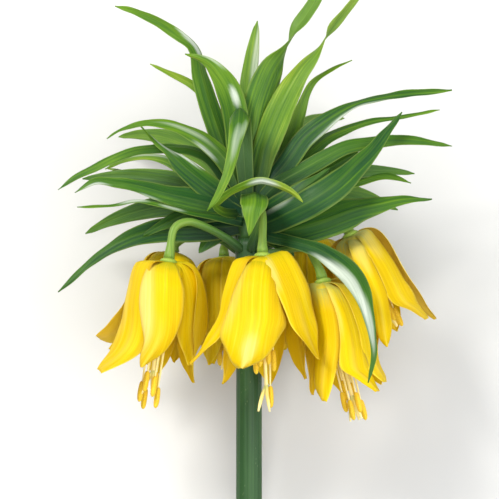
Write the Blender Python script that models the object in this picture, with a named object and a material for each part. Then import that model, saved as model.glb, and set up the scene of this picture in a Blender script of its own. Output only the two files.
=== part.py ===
import bmesh
import bpy
import math
from mathutils import Vector

# Crown imperial fritillary: one cut flowering stem, lying on its back leaves and on its cut end.
# Lengths are in millimetres in the plant's own frame, and become metres when the plant is laid down.
# The plant's frame: x to the right, z up along the stem, y away from whoever looks at its front.
# Its origin is in the middle of the stem, where the bells' stalks leave it.

# How the plant lies
LIE_DEG = 14.0            # angle of the stem above the surface
STEM_BELOW = 262.0        # length of bare stalk under the crown
STEM_R = 6.8              # radius of the stalk at the cut
SIN_LIE = math.sin(math.radians(LIE_DEG))
COS_LIE = math.cos(math.radians(LIE_DEG))
CROWN_HEIGHT = STEM_BELOW * SIN_LIE + STEM_R * COS_LIE
FLOOR_MARGIN = 0.6        # middle of a blade over the surface

# The point of view that the stations below are written for: pixels of a 499 by 499 frame
FRAME_MIDDLE = 249.5
PIXEL_MM = 0.52           # one pixel at the stem
VIEW_DISTANCE = 1100.0
VIEW_UP_DEG = 8.0         # looks slightly up into the bells
TARGET = Vector((0.26, 0.0, -7.5))

# Blades
LEAF_THICK = 0.8
SPECK_FACES = 24          # a closed surface with fewer faces is no piece of the plant
SHARP_DEG = 40.0          # edges sharper than this stay sharp in the shading
LEAF_STEP = 15.0          # length of one straight piece of a leaf
LEAF_SEGMENTS = (4, 7)    # fewest and most of them
BACK_SEGMENTS = 5
LEAF_KEEL = 0.10          # depth of the channel along a leaf, part of its width
LEAF_HALVES = (-1.0, 0.0, 1.0)
LEAST_WIDTH = 0.9         # of a blade's tip
TEPAL_THICK = 0.8
TEPAL_SHARES = (0.0, 0.085, 0.26, 0.52, 0.78, 1.0)
TEPAL_HALVES = (-1.0, -0.4, 0.4, 1.0)

# Stalk and the core over it that the leaves grow from, as (height, radius)
STALK_PROFILE = ((-STEM_BELOW, STEM_R), (-STEM_BELOW / 2, STEM_R - 0.1), (-24.0, STEM_R - 0.2),
                 (-12.0, STEM_R + 0.3), (-2.5, STEM_R + 0.5))
CORE_PROFILE = ((-2.3, 6.0), (5.0, 7.6), (20.0, 6.4), (30.0, 2.5))
CORE_LEAN = 0.5           # how far the core's upper half stands towards the viewer

# Stalk of a bell
STALK_R = 2.1
STALK_RADII = [STALK_R + 0.5] * 3 + [STALK_R] * 5 + [STALK_R + 0.3, STALK_R + 0.8]
STALK_ROOT = (0.0, 0.0, -9.0)
STALK_END = 4.0           # straight length of a stalk over its bell

# Bell: distances out from its axis and down from its top, at size 1
RECEPTACLE_PROFILE = ((0.15, 3.0), (1.6, 4.4), (3.4, 3.52))
INNER_STEP = 1.6          # inner tepals sit this much closer to the axis
NARROW_R = 6.0            # nearer the axis than this a tepal's root is flat
TEPAL_WRAP = 0.92         # share of its width that a tepal takes of the bell's round
TEPAL_EDGE_TUCK = 0.03    # how much nearer the axis its edges are than its middle
BASE_SPAN = (3.6, 5.0)
BASE_R = 3.6
OVARY_PROFILE = ((4.2, 2.0), (17.0, 1.7))
STYLE_START = 15.0
STYLE_RADII = (1.0, 1.2)
STYLE_SPLIT = 7.0         # the style forks this far before its own reach
STIGMA_LINE = ((0.6, -8.5, 1.0), (2.6, 0.0, 1.0), (3.6, 4.0, 0.7))    # out, past the style's reach, radius
STIGMA_TURN = 35.0
FILAMENT_ROOT = (3.0, 4.3, 0.95)    # out, down, radius
ANTHER_LINE = ((4.1, -5.5, 0.65), (4.3, -2.5, 1.5), (4.3, 2.5, 1.5), (4.2, 5.0, 0.5))

# Finishes: colour and roughness
FINISHES = {
    "stem_green": ((0.05, 0.13, 0.045), 0.5),
    "leaf_green": ((0.14, 0.32, 0.06), 0.45),
    "tepal_yellow": ((0.93, 0.7, 0.02), 0.5),
    "stamen_cream": ((0.88, 0.72, 0.22), 0.7),
}

VIEW_DIR = Vector((0.0, math.cos(math.radians(VIEW_UP_DEG)), math.sin(math.radians(VIEW_UP_DEG))))
VIEW_UP = Vector((0.0, -VIEW_DIR.z, VIEW_DIR.y))
VIEW_EYE = TARGET - VIEW_DISTANCE * VIEW_DIR


def place(px, py, depth):
    """Point of the plant that shows at a pixel, at a depth behind the stem."""
    across = (px - FRAME_MIDDLE) * PIXEL_MM / VIEW_DISTANCE
    rise = (FRAME_MIDDLE - py) * PIXEL_MM / VIEW_DISTANCE
    ray = VIEW_DIR + across * Vector((1.0, 0.0, 0.0)) + rise * VIEW_UP
    return VIEW_EYE + ray * ((depth - VIEW_EYE.y) / ray.y)


def surface_depth(z):
    """Depth y at which a point of height z would meet the surface that the plant lies on."""
    return (CROWN_HEIGHT + z * SIN_LIE) / COS_LIE


def above_surface(p, margin=FLOOR_MARGIN):
    return Vector((p.x, min(p.y, surface_depth(p.z) - margin), p.z))


def lay(p):
    """From the plant's frame in millimetres to the world in metres, before centring."""
    return Vector((
        p.x,
        p.y * SIN_LIE + p.z * COS_LIE,
        -p.y * COS_LIE + p.z * SIN_LIE + CROWN_HEIGHT,
    )) * 0.001


def even(count):
    return [i / count for i in range(count + 1)]


def spline(values, shares):
    """Resamples a list of equal-length tuples at shares of the length of its first three numbers."""
    fine = []
    last = len(values) - 1
    for i in range(last):
        a = values[max(i - 1, 0)]
        b = values[i]
        c = values[i + 1]
        d = values[min(i + 2, last)]
        for k in range(12):
            t = k / 12.0
            fine.append(tuple(
                0.5 * (2 * q + (r - p) * t + (2 * p - 5 * q + 4 * r - s) * t * t
                       + (3 * q - p - 3 * r + s) * t * t * t)
                for p, q, r, s in zip(a, b, c, d)))
    fine.append(tuple(values[-1]))
    run = [0.0]
    for a, b in zip(fine, fine[1:]):
        run.append(run[-1] + (Vector(b[:3]) - Vector(a[:3])).length)
    out = []
    j = 0
    for place_along in shares:
        goal = run[-1] * place_along
        while j < len(run) - 2 and run[j + 1] < goal:
            j += 1
        share = (goal - run[j]) / max(run[j + 1] - run[j], 1e-9)
        share = min(max(share, 0.0), 1.0)
        out.append(tuple(a + (b - a) * share for a, b in zip(fine[j], fine[j + 1])))
    return out


def tangents(points):
    out = []
    for i in range(len(points)):
        a = points[max(i - 1, 0)]
        b = points[min(i + 1, len(points) - 1)]
        out.append((b - a).normalized())
    return out


def finish(name):
    """The material of one kind of plant tissue."""
    made = bpy.data.materials.get(name)
    if made:
        return made
    colour, roughness = FINISHES[name]
    made = bpy.data.materials.new(name)
    made.use_nodes = True
    made.diffuse_color = colour + (1.0,)
    shader = made.node_tree.nodes["Principled BSDF"]
    shader.inputs["Base Color"].default_value = colour + (1.0,)
    shader.inputs["Roughness"].default_value = roughness
    shader.inputs["Metallic"].default_value = 0.0
    return made


def mesh_object(name, verts, faces, collection):
    mesh = bpy.data.meshes.new(name)
    mesh.from_pydata([lay(v) for v in verts], [], faces)
    bm = bmesh.new()
    bm.from_mesh(mesh)
    bmesh.ops.recalc_face_normals(bm, faces=bm.faces)
    bmesh.ops.triangulate(bm, faces=bm.faces)
    if bm.calc_volume(signed=True) < 0:
        bmesh.ops.reverse_faces(bm, faces=bm.faces)
    bm.to_mesh(mesh)
    bm.free()
    ob = bpy.data.objects.new(name, mesh)
    collection.objects.link(ob)
    return ob


def blade(name, rows, thick, collection):
    """A closed sheet from rows of points on its middle surface, all rows equally long."""
    across = len(rows[0])
    count = len(rows)
    upper = []
    lower = []
    for i in range(count):
        for j in range(across):
            along = rows[min(i + 1, count - 1)][j] - rows[max(i - 1, 0)][j]
            over = rows[i][min(j + 1, across - 1)] - rows[i][max(j - 1, 0)]
            normal = along.cross(over)
            if normal.length < 1e-6:
                normal = Vector((0.0, -1.0, 0.0))
            normal.normalize()
            upper.append(rows[i][j] + normal * thick / 2)
            lower.append(rows[i][j] - normal * thick / 2)
    verts = upper + lower
    base = len(upper)
    faces = []

    def at(i, j):
        return i * across + j

    for i in range(count - 1):
        for j in range(across - 1):
            a, b, c, d = at(i, j), at(i, j + 1), at(i + 1, j + 1), at(i + 1, j)
            if (i + j) % 2:
                faces += [(a, b, c), (a, c, d)]
                faces += [(base + a, base + c, base + b), (base + a, base + d, base + c)]
            else:
                faces += [(a, b, d), (b, c, d)]
                faces += [(base + a, base + d, base + b), (base + b, base + d, base + c)]
    rim = [at(0, j) for j in range(across)]
    rim += [at(i, across - 1) for i in range(1, count)]
    rim += [at(count - 1, j) for j in range(across - 2, -1, -1)]
    rim += [at(i, 0) for i in range(count - 2, 0, -1)]
    for a, b in zip(rim, rim[1:] + rim[:1]):
        faces.append((a, b, base + b, base + a))
    return mesh_object(name, verts, faces, collection)


def tube(name, points, radii, sides, collection):
    """A closed round bar along a line of points."""
    dirs = tangents(points)
    side = dirs[0].cross(Vector((0.0, 1.0, 0.0)))
    if side.length < 0.2:
        side = dirs[0].cross(Vector((1.0, 0.0, 0.0)))
    side.normalize()
    verts = []
    faces = []
    for p, d, r in zip(points, dirs, radii):
        side = (side - d * side.dot(d)).normalized()
        other = d.cross(side)
        for k in range(sides):
            turn = 2 * math.pi * k / sides
            verts.append(p + (side * math.cos(turn) + other * math.sin(turn)) * r)
    for i in range(len(points) - 1):
        for k in range(sides):
            a = i * sides + k
            b = i * sides + (k + 1) % sides
            faces.append((a, b, b + sides, a + sides))
    faces.append(tuple(reversed(range(sides))))
    top = (len(points) - 1) * sides
    faces.append(tuple(range(top, top + sides)))
    return mesh_object(name, verts, faces, collection)


def drop_specks(bm):
    """Takes out the tiny closed surfaces that a union can leave inside the solid."""
    left = set(bm.faces)
    islands = []
    while left:
        island = {left.pop()}
        edge_of = list(island)
        while edge_of:
            face = edge_of.pop()
            for edge in face.edges:
                for other in edge.link_faces:
                    if other in left:
                        left.discard(other)
                        island.add(other)
                        edge_of.append(other)
        islands.append(island)
    islands.sort(key=len)
    for island in islands[:-1]:
        if len(island) < SPECK_FACES:
            loose = {v for face in island for v in face.verts}
            bmesh.ops.delete(bm, geom=list(loose), context="VERTS")


def fuse(name, collection, finish_name):
    """One solid with one finish from all the solids of a collection, which is emptied."""
    members = list(collection.objects)
    first = members[0]
    collection.objects.unlink(first)
    bpy.context.scene.collection.objects.link(first)
    if len(members) > 1:
        mod = first.modifiers.new("fuse", "BOOLEAN")
        mod.operation = "UNION"
        mod.operand_type = "COLLECTION"
        mod.collection = collection
        mod.solver = "MANIFOLD"
        graph = bpy.context.evaluated_depsgraph_get()
        mesh = bpy.data.meshes.new_from_object(first.evaluated_get(graph))
        first.modifiers.remove(mod)
        first.data = mesh
    for ob in members[1:]:
        bpy.data.objects.remove(ob, do_unlink=True)
    bpy.data.collections.remove(collection)
    bm = bmesh.new()
    bm.from_mesh(first.data)
    drop_specks(bm)
    bmesh.ops.triangulate(bm, faces=bm.faces)
    bm.to_mesh(first.data)
    bm.free()
    first.name = name
    first.data.name = name
    first.data.materials.append(finish(finish_name))
    first.data.shade_smooth()
    first.data.set_sharp_from_angle(angle=math.radians(SHARP_DEG))
    return first


def new_collection(name):
    collection = bpy.data.collections.new(name)
    bpy.context.scene.collection.children.link(collection)
    return collection


# Leaves. Each station is (pixel x, pixel y, depth, width in pixels, turn in degrees).
# The turn rolls the blade about its own line: 0 shows its face, 90 shows its edge.
# A leaf marked "hang" goes through the line of sight, so its width stays along x instead.
LEAVES = {
    "a": ("face", [(250, 205, 2, 12, 0), (247, 150, 8, 18, -12), (248, 100, 11, 19, -16),
          (250, 70, 12, 17, -14), (254, 42, 13, 11, -10), (257.5, 21, 13, 3, -8)]),
    "b": ("face", [(250, 205, -1, 14, 0), (252, 150, -5, 24, 8), (257, 110, -8, 32, 12),
          (270, 72, -9, 28, 24), (283, 50, -9, 17, 70), (297, 27, -8, 17, 140), (314, 2, -7, 13, 165),
          (332, -35, -5, 4, 180)]),
    "c": ("face", [(253, 208, -3, 14, 0), (262, 160, -8, 24, -10), (268, 140, -10, 29, -14),
          (283, 104, -12, 28, -16), (300, 73, -13, 23, -30), (315, 55, -13, 16, -50),
          (324, 42, -12, 10, -82), (333, 27, -11, 11, -130), (354, 1, -9, 8, -150),
          (372, -20, -8, 3, -160)]),
    "d": ("face", [(246, 205, -2, 12, 0), (239, 160, -8, 22, -14), (236, 120, -12, 27, -18),
          (229, 92, -14, 26, -14), (219, 74, -14, 19, -18), (206, 61, -13, 10, -22),
          (185, 54, -11, 3, -20)]),
    "e": ("face", [(244, 203, 2, 12, 0), (228, 160, 5, 20, 14), (217, 130, 7, 22, 18),
          (207, 100, 8, 21, 20), (200, 75, 9, 19, 30), (194, 50, 10, 17, 46), (180, 37, 11, 14, 30),
          (160, 23, 12, 12, 22), (135, 12, 13, 8, 20), (115, 6, 13, 3, 20)]),
    "f": ("face", [(242, 200, 6, 12, 0), (222, 150, 12, 14, 20), (212, 112, 15, 13, 24),
          (205, 97, 16, 11, 20), (195, 87, 17, 10, 20), (180, 78, 18, 8, 20), (150, 64, 18, 3, 20)]),
    "g": ("face", [(244, 200, -5, 12, 0), (226, 163, -12, 20, 20), (208, 144, -18, 21, 26),
          (190, 133, -21, 18, 30), (168, 125, -24, 13, 30), (145, 123, -26, 8, 30),
          (122, 129, -27, 5, 30), (107, 139, -28, 2.5, 30)]),
    "h": ("face", [(242, 208, -4, 14, 0), (213, 190, -10, 25, 8), (194, 176, -12, 23, 10),
          (179, 163, -14, 18, 12), (169, 153, -16, 10, 30), (158, 144, -18, 7, 40),
          (149, 135, -18, 5, 40), (138, 124, -19, 2.5, 40)]),
    "i": ("face", [(243, 208, -1, 12, 0), (215, 165, -6, 15, 30), (195, 152, -9, 15, 36),
          (175, 149, -11, 14, 34), (155, 149, -13, 12, 30), (135, 151, -14, 11, 26),
          (115, 158, -15, 11, 22), (95, 168, -16, 9, 20), (74, 178, -16, 6, 20),
          (58, 190, -16, 2.5, 20)]),
    "j": ("face", [(242, 214, 4, 12, 0), (210, 190, 12, 14, 30), (185, 172, 17, 14, 30),
          (165, 160, 20, 12, 30), (145, 157, 22, 8, 30), (125, 160, 23, 6, 30),
          (105, 169, 23, 3, 30)]),
    "k": ("face", [(242, 216, 5, 12, 0), (205, 196, 14, 14, 40), (176, 184, 20, 13, 44),
          (150, 178, 24, 11, 42), (125, 172, 26, 7, 40), (108, 169, 27, 3, 40)]),
    "l": ("face", [(243, 216, -5, 14, 0), (215, 206, -10, 27, 8), (190, 200, -13, 27, 14),
          (165, 194, -16, 21, 18), (140, 187, -18, 16, 22), (117, 183, -20, 11, 22),
          (95, 181, -21, 8, 20), (75, 193, -22, 3, 20)]),
    "m": ("face", [(243, 222, -7, 10, 0), (215, 217, -14, 12, 44), (195, 214, -17, 12, 58),
          (174, 209, -19, 12, 62), (152, 203, -20, 11, 62), (135, 201, -21, 10, 60),
          (110, 206, -22, 7, 54), (77, 207, -23, 3, 50)]),
    "n": ("face", [(244, 226, -3, 14, 0), (215, 228, -4, 26, 6), (190, 229, -5, 28, 10),
          (165, 230, -6, 27, 14), (145, 234, -7, 24, 18), (125, 241, -8, 17, 20),
          (108, 250, -8, 12, 20), (90, 263, -8, 9, 20), (74, 278, -8, 6, 20), (58, 292, -8, 2.5, 20)]),
    "n2": ("face", [(244, 214, -1, 14, 0), (232, 221, -2, 24, 0), (219, 231, -2, 24, 6),
          (208, 242, -2, 15, 8), (199, 253, -2, 3, 8)]),
    "n3": ("face", [(243, 218, -3, 14, 0), (228, 208, -6, 26, 0), (205, 210, -8, 27, 6),
          (184, 216, -9, 20, 10), (163, 225, -9, 11, 12), (143, 236, -9, 3, 12)]),
    "p": ("hang", [(247, 205, -4, 12, 0), (245, 172, -12, 17, 0), (242, 132, -20, 20, 0),
          (240, 110, -29, 21, 0), (238, 127, -37, 18, 0), (235, 142, -40, 14, 0),
          (232, 157, -41, 12, 0), (228, 172, -42, 10, 0), (222, 187, -42, 8, 0), (215, 200, -41, 6, 0),
          (207, 211, -40, 2.5, 0)]),
    "q": ("face", [(238, 214, -6, 10, 0), (224, 212, -20, 9, 0), (216, 205, -29, 8, 20),
          (226, 195, -34, 9, 44), (240, 187, -37, 10, 52), (258, 181, -39, 10, 54),
          (272, 183, -40, 10, 54), (285, 188, -40, 9, 50), (295, 194, -39, 6, 40),
          (303, 202, -38, 2.5, 30)]),
    "r": ("hang", [(253, 212, -4, 12, 0), (254, 197, -16, 20, 0), (254, 196, -32, 27, 0),
          (254, 204, -41, 28, 0), (252, 212, -43, 20, 0), (251, 221, -43.5, 12, 0),
          (250, 229, -43, 6, 0), (249, 236, -42, 2, 0)]),
    "s": ("face", [(253, 200, -3, 12, 0), (285, 165, -8, 21, -12), (303, 140, -10, 22, -14),
          (322, 124, -12, 20, -16), (342, 111, -13, 14, -30), (362, 102, -13, 11, -40),
          (385, 97, -12, 9, -36), (405, 94, -11, 9, -24), (426, 92, -10, 8, -20),
          (452, 90, -9, 3, -20)]),
    "t": ("face", [(254, 205, 3, 12, 0), (290, 172, 6, 17, -20), (310, 152, 8, 18, -24),
          (328, 138, 9, 15, -30), (348, 129, 10, 11, -34), (370, 122, 10, 8, -30),
          (395, 118, 10, 6, -30), (440, 110, 10, 2.5, -30)]),
    "u": ("face", [(253, 210, -3, 12, 0), (275, 187, -8, 18, -14), (300, 172, -11, 19, -18),
          (325, 158, -13, 18, -18), (345, 148, -14, 16, -18), (363, 144, -14, 15, -16),
          (385, 141, -14, 13, -16), (405, 140, -13, 11, -16), (426, 142, -13, 8, -16),
          (452, 146, -12, 2.5, -16)]),
    "u2": ("face", [(254, 212, -1, 14, 0), (280, 196, -5, 20, -6), (303, 184, -7, 19, -8),
          (325, 171, -8, 15, -8), (344, 160, -8, 8, -8), (359, 151, -8, 2.5, -8)]),
    "v": ("face", [(252, 226, -6, 14, 0), (268, 223, -14, 24, 0), (290, 213, -23, 29, -8),
          (315, 200, -28, 31, -10), (337, 185, -29, 30, -12), (355, 168, -27, 23, -14),
          (373, 150, -24, 16, -20), (388, 130, -21, 10, -22), (402, 112, -19, 3, -20)]),
    "v2": ("face", [(254, 222, -4, 16, 0), (268, 214, -12, 24, 0), (284, 204, -17, 25, -4),
          (302, 190, -20, 18, -6), (318, 178, -21, 9, -6), (330, 168, -21, 2.5, -6)]),
    "w": ("face", [(253, 228, -3, 14, 0), (268, 233, -8, 22, 0), (300, 229, -15, 31, -6),
          (325, 222, -18, 35, -8), (346, 214, -19, 34, -10), (362, 209, -18, 25, -12),
          (381, 205, -17, 17, -16), (405, 200, -16, 10, -18), (432, 199, -15, 2.5, -18)]),
    "w2": ("face", [(254, 222, -4, 14, 0), (266, 231, -7, 22, 0), (278, 240, -8, 19, 0),
          (288, 249, -9, 9, 0), (294, 256, -9, 2.5, 0)]),
    "x": ("face", [(254, 216, 5, 12, 0), (300, 198, 11, 13, -30), (350, 184, 15, 12, -30),
          (380, 176, 17, 11, -30), (397, 178, 18, 7, -30), (411, 183, 18, 2.5, -30)]),
    "y": ("face", [(252, 200, 4, 12, 0), (280, 165, 8, 16, -18), (292, 138, 10, 17, -20),
          (300, 112, 11, 14, -26), (307, 92, 12, 10, -36), (316, 80, 12, 8, -40),
          (335, 68, 12, 5, -34), (352, 60, 12, 2.5, -30)]),
    "z": ("face", [(253, 231, -5, 12, 0), (272, 237, -15, 13, 0), (292, 242, -24, 14, -20),
          (315, 249, -33, 18, -26), (337, 262, -40, 24, -18), (352, 276, -45, 24, -12),
          (361, 291, -48, 20, -14), (367, 310, -50, 14, -16), (372, 333, -51, 9, -16),
          (374, 355, -51, 6, -10), (368, 383, -50, 2.5, 0)]),
}

# Leaves on the side away from the viewer: turn about the stem from +x towards +y, height of the
# root, how steeply the leaf rises at its root, its length, and its widest width, in mm and degrees.
BACK_LEAVES = {
    "back1": (14, 16, 30, 92, 10.5),
    "back2": (38, 15, 24, 104, 13),
    "back3": (58, 22, 52, 118, 12),
    "back4": (80, 10, 24, 88, 12.5),
    "back5": (98, 25, 64, 124, 12),
    "back6": (116, 15, 22, 92, 12),
    "back7": (134, 20, 46, 116, 12.5),
    "back8": (152, 12, 16, 100, 13),
    "back9": (170, 15, 28, 90, 10.5),
}
BACK_DROOP = 0.0075       # how fast a back leaf bends down, radians for each mm
BACK_ROOT_R = 3.0         # its root's distance from the stem's axis
BACK_LIFT = 0.05          # how much it turns up at a station that meets the surface, radians
BACK_STEEPEST_DEG = 60.0
BACK_WIDTHS = (0.62, 0.9, 1.0, 0.98, 0.86, 0.66, 0.42, 0.16)


def leaf_stations(stations):
    out = []
    for px, py, depth, width, turn in stations:
        p = place(px, py, depth)
        scale = 1.0 + depth / VIEW_DISTANCE
        out.append((p.x, p.y, p.z, width * PIXEL_MM * scale, turn))
    return out


def back_stations(turn_deg, root_z, rise_deg, length, width):
    turn = math.radians(turn_deg)
    out_dir = Vector((math.cos(turn), math.sin(turn), 0.0))
    p = out_dir * BACK_ROOT_R + Vector((0.0, 0.0, root_z))
    rise = math.radians(rise_deg)
    step = length / (len(BACK_WIDTHS) - 1)
    out = []
    for part in BACK_WIDTHS:
        lifted = above_surface(p)
        out.append((lifted.x, lifted.y, lifted.z, width * part, 0.0))
        if p.y > surface_depth(p.z) - FLOOR_MARGIN:
            rise = min(rise + BACK_LIFT, math.radians(BACK_STEEPEST_DEG))
            p = lifted
        p = p + (out_dir * math.cos(rise) + Vector((0.0, 0.0, math.sin(rise)))) * step
        rise -= BACK_DROOP * step
    return out


def leaf_rows(kind, stations, segments):
    samples = spline(stations, even(segments))
    points = [Vector(s[:3]) for s in samples]
    dirs = tangents(points)
    rows = []
    for p, d, s in zip(points, dirs, samples):
        width = max(s[3], LEAST_WIDTH)
        if kind == "hang":
            side = Vector((1.0, 0.0, 0.0))
            side = (side - d * side.dot(d)).normalized()
        elif kind == "back":
            outward = Vector((0.0, -1.0, 0.0))
            side = d.cross(outward)
            side = side.normalized() if side.length > 0.25 else Vector((1.0, 0.0, 0.0))
        else:
            side = d.cross(Vector((0.0, 1.0, 0.0))).normalized()
        normal = d.cross(side)
        turn = math.radians(s[4])
        side, normal = (side * math.cos(turn) + normal * math.sin(turn),
                        normal * math.cos(turn) - side * math.sin(turn))
        row = []
        for h in LEAF_HALVES:
            sink = LEAF_KEEL * width * (1.0 - abs(h))
            row.append(above_surface(p + side * (h * width / 2) + normal * sink))
        rows.append(row)
    return rows


def pieces_along(stations):
    """How many straight pieces a leaf of this length gets."""
    points = [Vector(s[:3]) for s in stations]
    length = sum((b - a).length for a, b in zip(points, points[1:]))
    fewest, most = LEAF_SEGMENTS
    return min(max(round(length / LEAF_STEP), fewest), most)


def crown_leaves():
    collection = new_collection("leaf_parts")
    half = len(CORE_PROFILE) // 2
    core = [Vector((0.0, -CORE_LEAN * (i >= half), z)) for i, (z, r) in enumerate(CORE_PROFILE)]
    tube("core", core, [r for z, r in CORE_PROFILE], 12, collection)
    for name, (kind, stations) in LEAVES.items():
        placed = leaf_stations(stations)
        blade("leaf_" + name, leaf_rows(kind, placed, pieces_along(placed)), LEAF_THICK, collection)
    for name, numbers in BACK_LEAVES.items():
        rows = leaf_rows("back", back_stations(*numbers), BACK_SEGMENTS)
        blade("leaf_" + name, rows, LEAF_THICK, collection)
    return fuse("crown_leaves", collection, "leaf_green")


# Bells. top: the end of the stalk in the plant's frame. lean: the way the mouth goes from straight
# down, as (towards +x, towards +y) in parts of the bell's length. turn: where the first outer tepal
# points, degrees from the viewer towards +x. size: of the whole bell. stalk: points before the top.
BELLS = {
    "bloom1": dict(pixel=(169, 258.5), depth=-27, lean=(-0.14, -0.03), turn=0, size=1,
                   stalk=[(-4, -4, -8), (-12, -11, -3), (-22, -18, 1.5), (-31, -23, 3.5), (-38, -26, -0.5)],
                   open=(1, 1, 0.95, 1, 1, 1), length=(1, 1, 1.02, 0.98, 1, 1),
                   reach=(66, 71, 63, 72, 69, 64), style=66),
    "bloom2": dict(pixel=(262.5, 252.5), depth=-34, lean=(0.02, -0.03), turn=-6, size=1.04,
                   stalk=[(1, -6, -8), (3, -14, -1.5), (5, -22, 6.5), (6.5, -29, 7.5), (7, -33, 2)],
                   open=(1.15, 1.15, 0.85, 0.95, 1, 1.1), length=(1, 0.98, 1.04, 1.06, 1.06, 1),
                   reach=(50, 53, 70, 49, 54, 51), style=73),
    "bloom3": dict(pixel=(224, 256), depth=33, lean=(0.03, 0.02), turn=24, size=0.98,
                   stalk=[(-3, 4, -8), (-6, 12, 0), (-9, 20, 6), (-11.5, 27, 5), (-13, 31, -1)],
                   open=(1, 0.95, 0.95, 0.9, 0.75, 0.72), length=(1, 1.03, 1, 0.98, 1, 1.03),
                   reach=(50, 54, 52, 48, 55, 51), style=58),
    "bloom4": dict(pixel=(174, 252), depth=13, lean=(-0.18, -0.02), turn=20, size=0.96,
                   stalk=[(-5, 1, -8), (-14, 5, -2), (-24, 9, 2), (-32, 13, 1)],
                   open=(0.8, 0.7, 0.65, 0.95, 1, 0.9), length=(1, 1, 1, 1, 1, 1),
                   reach=(50, 54, 52, 48, 55, 51), style=58),
    "bloom5": dict(pixel=(322, 278.5), depth=-22, lean=(0.24, -0.03), turn=5, size=1,
                   stalk=[(4, -4, -10), (12, -9, -10.5), (22, -15, -9), (30, -19, -10), (33.5, -21, -16)],
                   open=(1, 1, 0.82, 0.8, 0.8, 1), length=(1, 1, 1, 1, 0.95, 1),
                   reach=(66, 70, 60, 58, 64, 69), style=70),
    "bloom6": dict(pixel=(349, 232), depth=2, lean=(0.46, 0.02), turn=-8, size=1.02,
                   stalk=[(5, 0, -7), (16, 0, -3), (29, 1, 1), (41, 2, 4), (49, 2, 4)],
                   open=(1, 1, 0.95, 0.9, 0.9, 0.95), length=(1, 1, 1, 0.95, 0.95, 1),
                   reach=(46, 50, 48, 45, 51, 47), style=50),
    "bloom7": dict(pixel=(315, 238), depth=29, lean=(0.1, 0.02), turn=8, size=0.98,
                   stalk=[(4, 4, -8), (12, 11, -1), (21, 19, 6), (29, 25, 9.5), (33.5, 28, 9)],
                   open=(0.9, 0.85, 0.9, 0.9, 0.95, 0.9), length=(1, 1, 1, 1, 1, 1),
                   reach=(50, 54, 52, 48, 55, 51), style=58),
}

# Middle line of a tepal: distance from the bell's axis, distance down from its top, and width
TEPAL_LINE = [(3, 1.6, 3), (8.5, 1.5, 9), (14, 4.8, 15.5), (16.8, 13, 20), (17.8, 27, 22.5),
              (19.3, 39, 21.5), (21.8, 49, 15), (24.2, 55.5, 6.5), (25.6, 58.5, 1.6)]
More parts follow.
